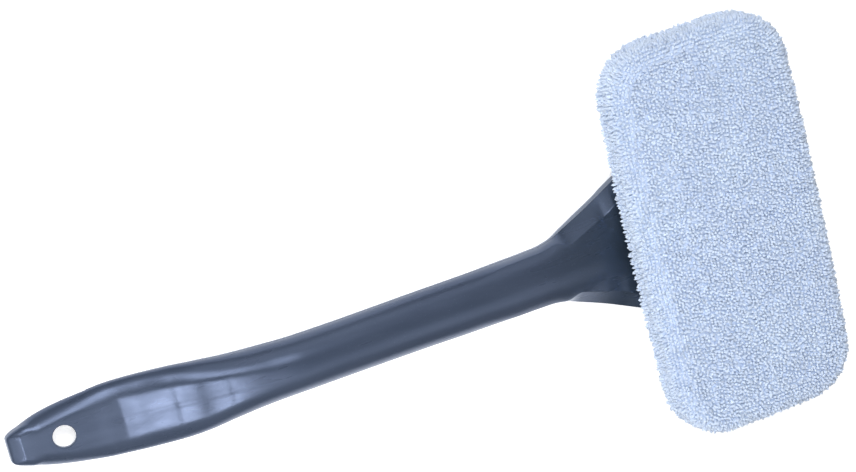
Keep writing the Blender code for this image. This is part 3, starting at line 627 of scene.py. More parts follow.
def slate_plastic(settings):
    """Moulded satin plastic: faint flow marks, a fine grain, and painted shade towards the head, for the head's
    shadow on the yoke.
    """
    material, tree, shader = new_material(
        "slate_plastic", IOR=1.60, Specular_Tint=(0.54, 0.66, 1.0, 1.0)
    )
    along = object_place(tree, FLOW_STRETCH)
    flow = spread(tree, noise_value(tree, along, 1.0, 3.0), *FLOW_RANGE)
    colour = mixed_colour(tree, flow, settings.plastic_colour, settings.plastic_flow_colour)
    place = object_place(tree)
    forward = first_output(tree, "ShaderNodeSeparateXYZ", {0: place})
    # Painted shade: the plastic deepens towards the head, for the head's shadow on the yoke
    painted_shade_towards_head = spread(tree, forward, *YOKE_SHADE_PLACES)
    colour = mixed_colour(tree, painted_shade_towards_head, colour, settings.yoke_shade_colour)
    grain = noise_value(tree, place, GRAIN_SCALE, 3.0, 0.6)
    speck = spread(tree, grain, *SPECK_RANGE, 0.0, SPECK_MIX_share)
    pale = tinted(settings.plastic_flow_colour, SPECK_TINT_share)
    colour = mixed_colour(tree, speck, colour, pale)
    gloss = noise_value(tree, along, FLOW_GLOSS_SCALE)
    connect(
        tree,
        shader,
        Base_Color=colour,
        Roughness=spread(tree, gloss, *NOISE_RANGE, *PLASTIC_ROUGHNESS),
        Normal=bump(tree, grain, *GRAIN_BUMP),
    )
    return material


def cap_plastic(settings):
    """The caps' plastic: the handle's colour with a coarser grain."""
    material, tree, shader = new_material("cap_plastic", IOR=1.5)
    grain = noise_value(tree, object_place(tree), CAP_GRAIN_SCALE)
    low = tinted(settings.plastic_colour, CAP_TINT_share)
    connect(
        tree,
        shader,
        Base_Color=mixed_colour(tree, grain, low, settings.plastic_flow_colour),
        Roughness=spread(tree, grain, *NOISE_RANGE, *CAP_ROUGHNESS),
        Normal=bump(tree, grain, *CAP_GRAIN_BUMP),
    )
    return material


def zinc_steel():
    """Zinc-plated steel with a brushed, faintly mottled surface."""
    material, tree, shader = new_material("zinc_steel", Metallic=1.0)
    brushed = noise_value(tree, object_place(tree, BRUSHED_STRETCH), 1.0)
    mottle = noise_value(tree, object_place(tree), MOTTLE_SCALE)
    connect(
        tree,
        shader,
        Base_Color=mixed_colour(tree, mottle, *STEEL_COLOURS),
        Roughness=spread(tree, brushed, *NOISE_RANGE, *STEEL_ROUGHNESS),
        Normal=bump(tree, brushed, *BRUSHED_BUMP),
    )
    return material


def terry_yarn(settings):
    """Looped yarn: painted shade deepens it towards the roots, so it is paler towards the tips; each loop a little
    different, with fine fibres.
    """
    material, tree, shader = new_material(
        "terry_yarn",
        Roughness=0.9,
        Sheen_Weight=0.10,
        Sheen_Roughness=0.5,
        Specular_IOR_Level=0.2,
    )
    height, shade = [
        add_node(tree, "ShaderNodeAttribute", attribute_name=name).outputs["Fac"]
        for name in ("pile_height", "pile_shade")
    ]
    # Painted shade: the yarn deepens towards the loops' roots, where the pile shades itself
    up = spread(tree, height, *ROOT_SHADE_RISE_RANGE)
    colour = mixed_colour(tree, up, settings.shaded_root_colour, settings.tip_colour)
    cooler = times(tree, shade, COOL_MIX_share)
    colour = mixed_colour(tree, cooler, colour, tinted(settings.tip_colour, COOL_TINT_share))
    place = object_place(tree)
    patch = noise_value(tree, place, PATCH_SCALE)
    worn = spread(tree, patch, *WORN_RANGE, 0.0, WORN_MIX_share)
    colour = mixed_colour(tree, worn, colour, tinted(settings.tip_colour, WORN_TINT_share))
    fibre = noise_value(tree, place, FIBRE_SCALE)
    connect(tree, shader, Base_Color=colour, Normal=bump(tree, fibre, *FIBRE_BUMP))
    return material


def pale_foam():
    """Open-cell foam: small pores in a pale grey block."""
    material, tree, shader = new_material("pale_foam", Roughness=0.95, Specular_IOR_Level=0.2)
    inputs = {"Vector": object_place(tree), "Scale": CELL_SCALE}
    cells = add_node(tree, "ShaderNodeTexVoronoi", inputs)
    depth = spread(tree, cells.outputs["Distance"], *CELL_RANGE)
    colour = mixed_colour(tree, depth, *FOAM_COLOURS)
    connect(tree, shader, Base_Color=colour, Normal=bump(tree, depth, *CELL_BUMP))
    return material


def hem_binding(settings):
    """A folded hem of the bonnet's woven ground: fine ribs round it."""
    material, tree, shader = new_material("hem_binding", Roughness=0.85, Sheen_Weight=0.15)
    ribs = slanting_bands(tree, HEM_RIB_SCALE, 1.5, 1.0)
    # Not held to 1.0, as tinted() would: the paler tint passes it in green and blue
    tints = [tuple(share * part for part in settings.shaded_root_colour) for share in HEM_TINT_shares]
    colour = mixed_colour(tree, ribs, *tints)
    connect(tree, shader, Base_Color=colour, Normal=bump(tree, ribs, *HEM_RIB_BUMP))
    return material


def covered_elastic():
    """Elastic cord in a braided white cover."""
    material, tree, shader = new_material("covered_elastic", Roughness=0.7)
    braid = slanting_bands(tree, BRAID_SCALE, 0.6)
    colour = mixed_colour(tree, braid, *ELASTIC_COLOURS)
    connect(tree, shader, Base_Color=colour, Normal=bump(tree, braid, *BRAID_BUMP))
    return material


def adhesive_film():
    """Clear double-sided film with tiny trapped bubbles."""
    material, tree, shader = new_material("adhesive_film", IOR=1.47)
    cloud = noise_value(tree, object_place(tree), BUBBLE_SCALE, 1.0)
    bubbles = spread(tree, cloud, *BUBBLE_RANGE)
    colour = mixed_colour(tree, bubbles, *FILM_COLOURS)
    roughness = spread(tree, bubbles, 0.0, 1.0, *FILM_ROUGHNESS)
    connect(tree, shader, Base_Color=colour, Roughness=roughness)
    return material


# Mesh helpers


def mesh_from_rings(rings, closed=False):
    """A mesh through rings of equal length, with its ends closed unless it joins itself."""
    count = len(rings[0])
    points = np.concatenate([np.asarray(ring, float) for ring in rings])
    faces = []
    total = len(rings)
    for k in range(total if closed else total - 1):
        low = k * count
        high = ((k + 1) % total) * count
        for i in range(count):
            j = (i + 1) % count
            faces.append((low + i, low + j, high + j, high + i))
    if not closed:
        for low in (0, (total - 1) * count):
            centre = len(points)
            points = np.vstack([points, points[low : low + count].mean(axis=0)])
            faces += [(centre, low + i, low + (i + 1) % count) for i in range(count)]
    mesh = bpy.data.meshes.new("rings")
    mesh.from_pydata([tuple(p) for p in points], [], faces)
    return point_outwards(mesh)


def point_outwards(mesh):
    """Merge doubles and turn the faces outwards."""
    work = bmesh.new()
    work.from_mesh(mesh)
    bmesh.ops.remove_doubles(work, verts=work.verts, dist=MERGE_DISTANCE)
    bmesh.ops.recalc_face_normals(work, faces=work.faces)
    work.to_mesh(mesh)
    work.free()
    return mesh


def boolean_meshes(mesh, others, operation="DIFFERENCE"):
    """The mesh with each of the others cut from it or added to it."""
    collection = bpy.context.scene.collection
    target = bpy.data.objects.new("target", mesh)
    collection.objects.link(target)
    tools = []
    for other in others:
        tool = bpy.data.objects.new("tool", other)
        collection.objects.link(tool)
        modifier = target.modifiers.new("cut", "BOOLEAN")
        modifier.operation = operation
        modifier.object = tool
        modifier.solver = "EXACT"
        tools.append(tool)
    graph = bpy.context.evaluated_depsgraph_get()
    result = bpy.data.meshes.new_from_object(target.evaluated_get(graph))
    for item in (target, *tools):
        bpy.data.objects.remove(item)
    return result


def box_mesh(low, high):
    """A box between two corners."""
    work = bmesh.new()
    size = Vector(high) - Vector(low)
    place = Matrix.Translation((Vector(low) + Vector(high)) / 2) @ Matrix.Diagonal(size).to_4x4()
    bmesh.ops.create_cube(work, size=1.0, matrix=place)
    mesh = bpy.data.meshes.new("box")
    work.to_mesh(mesh)
    work.free()
    return mesh


def turned_mesh(profile, sides, centre, axis):
    """A turned solid from a profile of (radius, height) along an axis through a point."""
    turn = Vector(axis).to_track_quat("Z", "Y").to_matrix().to_4x4()
    place = Matrix.Translation(centre) @ turn
    rings = []
    for radius, height in profile:
        ring = []
        for i in range(sides):
            angle = 2 * math.pi * (i + 0.5) / sides
            point = (radius * math.cos(angle), radius * math.sin(angle), height)
            ring.append(place @ Vector(point))
        rings.append(ring)
    return mesh_from_rings(rings)


def cylinder_mesh(radius, low, high, sides, centre, axis):
    """A cylinder between two heights along an axis through a point."""
    return turned_mesh([(radius, low), (radius, high)], sides, centre, axis)


def add_piece(mesh, name, material, body, replaced, sharp=SHARP_ANGLE):
    """Stand a mesh of the wand's own frame in the scene as a named piece."""
    mesh.transform(TO_WORLD)
    mesh.name = name
    mesh.materials.clear()
    mesh.materials.append(material)
    mesh.shade_smooth()
    mesh.set_sharp_from_angle(angle=sharp)
    piece = bpy.data.objects.new(name, mesh)
    bpy.context.scene.collection.objects.link(piece)
    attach(piece, body)
    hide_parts(*replaced)
    return piece


def smooth_through(places, values, wanted):
    """Monotone cubic through given values, so nothing overshoots between them."""
    gaps = np.diff(places)
    slopes = np.diff(values, axis=0) / gaps[:, None]
    tangents = np.zeros_like(values)
    tangents[0] = slopes[0]
    tangents[-1] = slopes[-1]
    same_way = slopes[:-1] * slopes[1:] > 0
    before = 2 * gaps[1:] + gaps[:-1]
    after = gaps[1:] + 2 * gaps[:-1]
    left = np.where(same_way, slopes[:-1], 1.0)
    right = np.where(same_way, slopes[1:], 1.0)
    blend = (before + after)[:, None] / (before[:, None] / left + after[:, None] / right)
    tangents[1:-1] = np.where(same_way, blend, 0.0)
    i = int(np.clip(np.searchsorted(places, wanted) - 1, 0, len(gaps) - 1))
    t = (wanted - places[i]) / gaps[i]
    rise = values[i + 1] - values[i]
    pull = gaps[i] * tangents[i]
    push = gaps[i] * tangents[i + 1]
    bend = 3 * rise - 2 * pull - push
    return values[i] + t * pull + t**2 * bend + t**3 * (pull + push - 2 * rise)


# The handle's form


def station_values():
    """The stations' places and, for each, its numbers with those of its cross-section."""
    places = np.array([row[0] for row in STATION_shares])
    values = []
    for row in STATION_shares:
        section = [number for pair in SECTION_shares[row[-1]] for number in pair]
        values.append([*row[1:-1], SQUARENESS_shares[row[-1]], *section])
    return places, np.array(values)


PLACES, VALUES = station_values()


def along_handle(share):
    """Place along the wand, from the hinge, of a share of the handle."""
    return (share - 1.0) * HANDLE_LENGTH


class HandleSection:
    """The handle's cross-section at a share of its length."""

    def __init__(self, share):
        numbers = smooth_through(PLACES, VALUES, share)
        drop, width, self.flare, crown, belly, self.squareness = numbers[:6]
        neck_half_width = width * GRIP_HALF_WIDTH
        self.x = along_handle(share)
        self.middle = -drop * TIP_DROP
        self.half_width = neck_half_width + self.flare * (YOKE_HALF_SPAN - neck_half_width)
        self.crown = crown * GRIP_CROWN
        self.belly = belly * GRIP_BELLY
        self.pairs = numbers[6:].reshape(-1, 2)

    def upper(self, wall, steps, drawn_in=0.0):
        """Sideways places and heights of the upper curve, drawn in by a wall and an edge."""
        half_width = self.half_width - wall * (1.0 + self.flare) - drawn_in
        crown = self.crown - wall - drawn_in
        knots = [(1.0, 0.0), *self.pairs, (0.0, 1.0)]
        half = [(half_width, 0.0)]
        for start, pull, end in zip(knots[0::2], knots[1::2], knots[2::2]):
            for step in range(1, steps + 1):
                t = step / steps
                y = (1 - t) ** 2 * start[0] + 2 * t * (1 - t) * pull[0] + t**2 * end[0]
                z = (1 - t) ** 2 * start[1] + 2 * t * (1 - t) * pull[1] + t**2 * end[1]
                half.append((half_width * y, crown * z))
        whole = np.array(half + [(-y, z) for y, z in reversed(half[:-1])])
        return whole[:, 0], whole[:, 1] + self.middle

    def lower(self, wall, steps):
        """Sideways places and heights of the lower curve, drawn in by a wall."""
        half_width = self.half_width - wall * (1.0 + self.flare / 2)
        belly = self.belly - wall
        angles = np.linspace(0.0, math.pi, 2 * steps + 1)
        across = np.cos(angles)
        y = np.sign(across) * np.abs(across) ** self.squareness
        z = np.sin(angles) ** self.squareness
        z[0] = 0.0
        z[-1] = 0.0
        return half_width * y, self.middle - belly * z


def panel_rows():
    """The panel's stations: share, absolute height and dishing."""
    rows = []
    for share, height, dish in PANEL_shares:
        section = HandleSection(share)
        rows.append((share, section.middle + height * section.crown, dish * PANEL_DISH))
    return np.array(rows)


PANEL_ROWS = panel_rows()


def panel_height(share, y, lowered=0.0):
    """Height of the thumb panel at places y across the handle, sunk a little over the ribs."""
    if share <= TIP_LAND_shares[1]:
        level = np.interp(share, PANEL_ROWS[:, 0], PANEL_ROWS[:, 1])
        dish = 0.0
    elif share >= PANEL_ROWS[-1, 0]:
        return np.full_like(y, YOKE_HALF_SPAN)
    else:
        level, dish = smooth_through(PANEL_ROWS[2:, 0], PANEL_ROWS[2:, 1:], share)
    sink = 0.0
    x = along_handle(share)
    if lowered == 0.0 and share < PANEL_ROWS[-3, 0]:
        over_middle = np.exp(-((y / SINK_WIDTH) ** 2))
        for rib in RIB_shares:
            away = (x - along_handle(rib)) / SINK_WIDTH
            if abs(away) < SINK_REACH:
                sink = sink + SINK_DEPTH * np.exp(-(away**2)) * (1.0 + over_middle)
        near, far = SINK_FADE_shares
        fade = np.clip((share - RIB_shares[0]) / near, 0.0, 1.0)
        fade = fade * np.clip((RIB_shares[-1] + far - share) / far, 0.0, 1.0)
        sink = sink + fade * SINK_DEPTH * over_middle
    return level - lowered + dish * (np.abs(y) / PANEL_REACH) ** PANEL_DISH_POWER - sink


def softly_lower(first, second, rounding):
    """The lower of two heights, with the crease between them rounded."""
    gap = (first - second) / rounding
    return np.minimum(first, second) - rounding * np.log1p(np.exp(-np.abs(gap)))


def handle_shares(start, end, spacing):
    """Shares of the handle for rings a spacing apart, with the panel's bends among them."""
    count = max(2, round((end - start) * HANDLE_LENGTH / spacing))
    shares = list(np.linspace(start, end, count + 1))
    bend = TIP_LAND_shares[0]
    near = CREASE_ROUNDING / HANDLE_LENGTH
    shares += [s for s in (bend - near, bend, bend + near) if start < s < end]
    rim = TIP_ROUNDING / HANDLE_LENGTH
    shares += [rim * s for s in TIP_RING_shares if start <= rim * s < end]
    return sorted(set(shares))


def with_floor(x, y, z, drop):
    """A ring closed by two points straight under its ends."""
    ring = np.stack([np.full_like(y, x), y, z], axis=1)
    if drop == 0.0:
        return ring
    first = ring[0] + (0.0, 0.0, drop)
    last = ring[-1] + (0.0, 0.0, drop)
    return np.concatenate([[first], ring, [last]])


def front_outside(settings):
    """The front shell's outer skin as a closed solid down to the parting plane."""
    rings = []
    end = STATION_shares[-1][0]
    for share in handle_shares(0.0, end, settings.ring_spacing):
        section = HandleSection(share)
        from_tip = share * HANDLE_LENGTH
        drawn_in = 0.0
        if from_tip < TIP_ROUNDING:
            drawn_in = TIP_ROUNDING - math.sqrt(TIP_ROUNDING**2 - (TIP_ROUNDING - from_tip) ** 2)
        y, z = section.upper(0.0, settings.curve_steps, drawn_in)
        top = panel_height(share, y) - drawn_in
        z[1:-1] = softly_lower(z[1:-1], top[1:-1], CREASE_ROUNDING)
        z[1:-1] = np.maximum(z[1:-1], section.middle)
        rings.append(with_floor(section.x, y, z, 0.0))
    return mesh_from_rings(rings)


def front_hollow(start, end, steps=HOLLOW_STEPS, spacing=HOLLOW_SPACING):
    """The space inside the front shell between two shares of its length."""
    rings = []
    for share in handle_shares(start, end, spacing):
        section = HandleSection(share)
        y, z = section.upper(SHELL_WALL, steps)
        z = np.minimum(z, panel_height(share, y, SHELL_WALL))
        rings.append(with_floor(section.x, y, z, -OVERRUN))
    return mesh_from_rings(rings)


def back_hollow(start, end):
    """The space inside the back shell between two shares of its length."""
    rings = []
    for share in handle_shares(start, end, HOLLOW_SPACING):
        section = HandleSection(share)
        y, z = section.lower(SHELL_WALL, BACK_HOLLOW_STEPS)
        rings.append(with_floor(section.x, y, z, OVERRUN))
    return mesh_from_rings(rings)


def screw_places():
    """Every screw's section, sideways place and length: the handle's, then the yoke's."""
    places = [(HandleSection(GRIP_SCREW_share), 0.0, GRIP_SCREW_LENGTH)]
    places += [(HandleSection(share), 0.0, NECK_SCREW_LENGTH) for share in NECK_SCREW_shares]
    yoke = HandleSection(YOKE_SCREW_share)
    for side in (-1.0, 1.0):
        places.append((yoke, side * YOKE_SCREW_SPAN_share * yoke.half_width, YOKE_SCREW_LENGTH))
    return places


def upright(x, y, low, high, radius, sides=SCREW_SIDES):
    """An upright cylinder between two heights."""
    return cylinder_mesh(radius, low, high, sides, (x, y, 0.0), (0, 0, 1))


def hang_hole_tool():
    """The hanging hole with its softened upper edge, square to the land."""
    ends = []
    for share in TIP_LAND_shares:
        height = float(np.interp(share, PANEL_ROWS[:, 0], PANEL_ROWS[:, 1]))
        ends.append(Vector((along_handle(share), 0.0, height)))
    low, high = TIP_LAND_shares
    centre = ends[0].lerp(ends[1], (HANG_HOLE_share - low) / (high - low))
    run = (ends[1] - ends[0]).normalized()
    axis = Vector((-run.z, 0.0, run.x))
    radius = HANG_HOLE_RADIUS
    chamfer = HANG_HOLE_CHAMFER
    profile = [
        (radius, -SHELL_WALL - OVERRUN),
        (radius, -chamfer),
        (radius + chamfer, 0.0),
        (radius + 2 * chamfer, chamfer),
        (radius + 2 * chamfer, OVERRUN),
    ]
    return turned_mesh(profile, HANG_HOLE_SIDES, centre, axis)


def front_cavities():
    """The tip's open hollow, and the closed ones behind it with ribs and bosses between them."""
    rib = RIB_THICKNESS / HANDLE_LENGTH / 2
    barrel_share = 1.0 - BARREL_BACK / HANDLE_LENGTH
    wall_share = SHELL_WALL / HANDLE_LENGTH
    tip_end = COVER_START_share - rib
    tip = front_hollow(wall_share, tip_end, TIP_HOLLOW_STEPS, TIP_HOLLOW_SPACING)
    reach = YOKE_HALF_SPAN
    low = (along_handle(0.0), -RIB_THICKNESS / 2, -reach)
    high = (along_handle(RIB_shares[-1]), RIB_THICKNESS / 2, reach)
    standing = [box_mesh(low, high)]
    radius = SCREW_RADIUS + BOSS_WALL
    for section, y, _ in screw_places():
        bottom = section.middle - 2 * OVERRUN
        top = section.middle + section.crown
        standing.append(upright(section.x, y, bottom, top, radius))
    walls = (COVER_START_share, *RIB_shares, barrel_share + rib)
    cavities = [tip]
    for start, end in zip(walls, walls[1:]):
        tools = [tool.copy() for tool in standing]
        cavities.append(boolean_meshes(front_hollow(start + rib, end - rib), tools))
    return cavities


def barrel():
    """The hinge barrel along the yoke's wide end, with softened rims."""
    half = YOKE_HALF_SPAN
    edge = BARREL_EDGE
    side = []
    for angle in np.linspace(0.0, math.pi / 2, BARREL_EDGE_STEPS):
        radius = BARREL_RADIUS - edge * (1 - math.sin(angle))
        side.append((radius, half - edge * (1 - math.cos(angle))))
    profile = [(r, -z) for r, z in side] + [(r, z) for r, z in reversed(side)]
    return turned_mesh(profile, BARREL_SIDES, (0, 0, 0), (0, 1, 0))


def gate_pip():
    """The small nub left where the plastic entered the mould."""
    x, y = GATE_PIP_PLACE
    section = HandleSection(1.0 + x / HANDLE_LENGTH)
    across, up = section.upper(0.0, GATE_PIP_CURVE_STEPS)
    order = np.argsort(across)
    top = float(np.interp(y, across[order], up[order]))
    r = GATE_PIP_RADIUS
    profile = [(r, -r)]
    profile += [(wide * r, tall * GATE_PIP_HEIGHT) for wide, tall in GATE_PIP_shares]
    return turned_mesh(profile, GATE_PIP_SIDES, (x, y, top), (0, 0, 1))


def build_front_shell(settings, plastic):
    """The visible half of the handle."""
    shell = boolean_meshes(front_outside(settings), front_cavities())
    shell = boolean_meshes(shell, [barrel(), gate_pip()], "UNION")
    reach = YOKE_HALF_SPAN + OVERRUN
    bore_radius = PIN_RADIUS + PIN_CLEARANCE
    bore = cylinder_mesh(bore_radius, -reach, reach, BORE_SIDES, (0, 0, 0), (0, 1, 0))
    tools = [bore, hang_hole_tool()]
    for section, y, length in screw_places():
        low = section.middle - OVERRUN
        high = section.middle - SCREW_SEAT_DEPTH + length + SCREW_CLEARANCE
        tools.append(upright(section.x, y, low, high, SCREW_RADIUS + PIN_CLEARANCE))
    shell = boolean_meshes(shell, tools)
    return add_piece(
        shell, "handle_front_surface", plastic, "handle", ["handle_front_shell"]
    )


def build_back_shell(settings, plastic):
    """The half that closes the handle from beneath."""
    end = 1.0 - BARREL_BACK / HANDLE_LENGTH
    rings = []
    spacing = BACK_SPACING_share * settings.ring_spacing
    for share in handle_shares(COVER_START_share, end, spacing):
        section = HandleSection(share)
        y, z = section.lower(0.0, 2 * settings.curve_steps)
        rings.append(with_floor(section.x, y, z, 0.0))
    outside = mesh_from_rings(rings)
    wall_share = SHELL_WALL / HANDLE_LENGTH
    hollow_end = 1.0 - (BARREL_BACK + SHELL_WALL) / HANDLE_LENGTH
    hollow = back_hollow(COVER_START_share + wall_share, hollow_end)
    wells = []
    holes = []
    head = SCREW_HEAD_RADIUS + SCREW_CLEARANCE
    for section, y, _ in screw_places():
        bottom = section.middle - section.belly - 2 * OVERRUN
        seat = section.middle - SCREW_SEAT_DEPTH
        top = section.middle + OVERRUN
        shank = SCREW_RADIUS + SCREW_CLEARANCE
        wells.append(upright(section.x, y, bottom, top + OVERRUN, head + BOSS_WALL))
        holes.append(upright(section.x, y, bottom, seat, head, WELL_SIDES))
        holes.append(upright(section.x, y, seat - OVERRUN, top, shank))
    hollow = boolean_meshes(hollow, wells)
    shell = boolean_meshes(outside, [hollow, *holes])
    shell.transform(Matrix.Translation((0, 0, -SEAT_GAP)))
    return add_piece(
        shell, "handle_back_surface", plastic, "handle", ["handle_back_shell"]
    )


# The head's form


def outline(half_x, half_y, radius):
    """A rounded rectangle in plan with evenly split sides, always of the same count."""
    corners = []
    for quarter in range(4):
        x = half_x - radius if quarter in (0, 3) else radius - half_x
        y = half_y - radius if quarter in (0, 1) else radius - half_y
        corner = []
        for step in range(CORNER_STEPS + 1):
            angle = math.pi / 2 * (quarter + step / CORNER_STEPS)
            corner.append((x + radius * math.cos(angle), y + radius * math.sin(angle)))
        corners.append(np.array(corner))
    points = []
    for quarter, corner in enumerate(corners):
        following = corners[(quarter + 1) % 4]
        steps = END_STEPS if quarter in (0, 2) else SIDE_STEPS
        split = np.arange(1, steps)[:, None] / steps
        points += [corner, corner[-1] + split * (following[0] - corner[-1])]
    return np.concatenate(points)


def face_height(x, y, top, crown, half_x, half_y):
    """Height of a padded face, crowned towards its middle."""
    across = 1 - np.clip(np.abs(x) / half_x, 0, 1) ** CROWN_POWERS[0]
    along = 1 - np.clip(np.abs(y) / half_y, 0, 1) ** CROWN_POWERS[1]
    return top + crown * (across * along)


def unevenness(points):
    """A smooth random height for each point, as stretched cloth has."""
    return np.array([UNEVEN_HEIGHT * noise.noise(Vector(p) * UNEVEN_SCALE) for p in points])


def pad_levels(low, top, low_radius, edge_radius, waist, reach):
    """How far each ring of a padded block is drawn in, and its height."""
    levels = []
    for angle in np.linspace(0.0, math.pi / 2, BACK_EDGE_STEPS):
        height = low + low_radius * (1 - math.cos(angle))
        levels.append((low_radius * (1 - math.sin(angle)), height))
    wall_low = low + low_radius
    wall_high = top - edge_radius
    for step in range(1, WALL_STEPS):
        t = step / WALL_STEPS
        levels.append((waist * math.sin(math.pi * t), wall_low + t * (wall_high - wall_low)))
    for angle in np.linspace(0.0, math.pi / 2, FACE_EDGE_STEPS):
        height = top - edge_radius * (1 - math.sin(angle))
        levels.append((edge_radius * (1 - math.cos(angle)), height))
    for step in range(1, FACE_STEPS + 1):
        levels.append((edge_radius + reach * step / (FACE_STEPS + 0.5), top))
    return levels


def pad_rings(inset, low, top, low_radius, edge_radius, waist):
    """Rings of a padded block, from its back edge up round its sides and over its face."""
    half_x = HEAD_WIDTH / 2 - inset
    half_y = HEAD_LENGTH / 2 - inset
    corner = HEAD_CORNER_RADIUS - inset
    face_x = half_x - edge_radius
    face_y = half_y - edge_radius
    levels = pad_levels(low, top, low_radius, edge_radius, waist, face_x)
    rings = []
    for number, (draw_in, z) in enumerate(levels):
        radius = max(corner - draw_in, min(half_x - draw_in, SMALLEST_CORNER))
        plan = outline(half_x - draw_in, half_y - draw_in, radius)
        heights = np.full(len(plan), z)
        if number >= len(levels) - FACE_STEPS:
            heights = face_height(*plan.T, top, FACE_CROWN, face_x, face_y)
        rings.append(np.column_stack([plan, heights]))
    return rings


def stretched_plan(x, y):
    """Plan places as the elastic and the foam leave them: sides bowed out, corners drawn in."""
    along = np.clip(np.abs(y) / (HEAD_LENGTH / 2), 0.0, 1.0)
    across = np.clip(np.abs(x) / (HEAD_WIDTH / 2), 0.0, 1.0)
    side_bow = SIDE_BOW * (1 - 2 * along**2) * np.sign(x) * across**2
    end_bow = END_BOW * (1 - END_BOW_FALL * across**2) * np.sign(y) * along**4
    return np.column_stack([x + side_bow, y + end_bow])


def pile_depth(settings):
    """How deep the ground cloth lies under the pile's tips."""
    return PILE_DEPTH_share * settings.loop_height


def bonnet_skin_rings(settings):
    """The bonnet's ground cloth: from its opening, round the plate's edge and over the face."""
    depth = pile_depth(settings)
    rings = pad_rings(
        depth,
        BONNET_BACK_HEIGHT + BACK_DEPTH_share * depth,
        FACE_TOP - depth,
        BACK_EDGE_RADIUS - depth / 2,
        FACE_EDGE_RADIUS - depth,
        BONNET_WAIST,
    )
    margin = HEM_HALF_WIDTH
    rim = outline(
        OPENING_HALF_WIDTH + margin, OPENING_HALF_LENGTH + margin, OPENING_CORNER_RADIUS + margin
    )
    start = rings[0]
    under = []
    for step in range(UNDER_STEPS):
        plan = rim + step / UNDER_STEPS * (start[:, :2] - rim)
        under.append(np.column_stack([plan, np.full(len(plan), start[0, 2])]))
    rings = np.array(under + rings)
    flat = rings.reshape(-1, 3)
    flat[:, :2] = stretched_plan(flat[:, 0], flat[:, 1])
    flat[:, 2] += unevenness(flat)
    return flat.reshape(rings.shape)


def grid_normals(rings):
    """Outward normals of a grid of closed rings."""
    around = np.roll(rings, -1, axis=1) - np.roll(rings, 1, axis=1)
    across = np.gradient(rings, axis=0)
    normals = np.cross(around, across)
    length = np.linalg.norm(normals, axis=2, keepdims=True)
    return normals / np.maximum(length, TINY)


def skin_solid(rings):
    """The ground cloth with its thickness, closed round the opening's edge."""
    inner = rings - CLOTH * grid_normals(rings)
    order = [*inner[::-1], *rings]
    return mesh_from_rings(order)


def over_hood(points):
    """Which roots lie over the hood, which presses the pile flat."""
    low = points[:, 2] < BONNET_BACK_HEIGHT + PRESSED_HEIGHT
    near = points[:, 0] < PRESSED_INSET - HEAD_WIDTH / 2
    return low & near & (np.abs(points[:, 1]) < YOKE_HALF_SPAN)


def path_lengths(points):
    """How far along a path each of its points lies."""
    return np.concatenate([[0.0], np.cumsum(np.linalg.norm(np.diff(points, axis=0), axis=1))])


def read_off(spots, lengths, values):
    """Values at places along a path."""
    return np.column_stack([np.interp(spots, lengths, column) for column in values.T])


def pile_rows(rings, normals, settings, random):
    """Root points, normals and sizes of the loops in rows round the sides and the back."""
    gaps = np.linalg.norm(np.diff(rings, axis=0), axis=2).mean(axis=1)
    run = np.concatenate([[0.0], np.cumsum(gaps)])
    face_start = len(rings) - FACE_STEPS
    stop = run[face_start]
    rows = []
    for place in np.linspace(0.0, stop, round(stop / settings.row_pitch) + 1)[1:]:
        k = int(np.searchsorted(run, place)) - 1
        k = max(0, min(k, len(run) - 2))
        t = (place - run[k]) / (run[k + 1] - run[k])
        ring = rings[k] * (1 - t) + rings[k + 1] * t
        normal = normals[k] * (1 - t) + normals[k + 1] * t
        closed = np.vstack([ring, ring[:1]])
        lengths = path_lengths(closed)
        count = max(FEWEST_LOOPS, round(lengths[-1] / settings.loop_pitch))
        offset = random.random()
        stray = random.normal(0.0, SPOT_JITTER_share, count)
        spots = (np.arange(count) + offset + stray) / count * lengths[-1]
        spots = np.mod(spots, lengths[-1])
        points = read_off(spots, lengths, closed)
        ways = read_off(spots, lengths, np.vstack([normal, normal[:1]]))
        size = np.full(count, BACK_LOOP_share if place < run[UNDER_STEPS] else 1.0)
        size[over_hood(points)] *= PRESSED_share
        rows.append((points, ways, size))
    return rows, rings[face_start]


def inset_in_outline(x, y, half_x, half_y, corner):
    """How far points lie inside a rounded rectangle."""
    qx = np.abs(x) - (half_x - corner)
    qy = np.abs(y) - (half_y - corner)
    outside = np.hypot(np.maximum(qx, 0), np.maximum(qy, 0))
    return -(outside + np.minimum(np.maximum(qx, qy), 0) - corner)


def pile_face(boundary, settings, random):
    """Root points, normals and sizes of the loops on the face, in rows along its length."""
    half_x = boundary[:, 0].max()
    half_y = boundary[:, 1].max()
    corner = HEAD_CORNER_RADIUS - (HEAD_WIDTH / 2 - half_x)
    wide, long = WANDER_SCALES
    points = []
    for number, x in enumerate(np.arange(-half_x, half_x, settings.row_pitch)):
        shift = settings.loop_pitch * (number % 2) / 2
        ys = np.arange(-half_y + shift, half_y, settings.loop_pitch)
        wander = [noise.noise(Vector((x * wide, y * long, 0.5))) for y in ys]
        points.append(np.column_stack([np.full(len(ys), x) + WANDER * np.array(wander), ys]))
    plan = np.concatenate(points)
    plan = plan + random.normal(0.0, FACE_JITTER, plan.shape)
    inside = inset_in_outline(plan[:, 0], plan[:, 1], half_x, half_y, corner)
    plan = plan[inside > settings.row_pitch / 2]
    plan = stretched_plan(plan[:, 0], plan[:, 1])
    top = FACE_TOP - pile_depth(settings)
    points = np.column_stack([plan, face_height(*plan.T, top, FACE_CROWN, half_x, half_y)])
    points[:, 2] += unevenness(points)
    return points, np.tile((0.0, 0.0, 1.0), (len(points), 1)), np.ones(len(points))


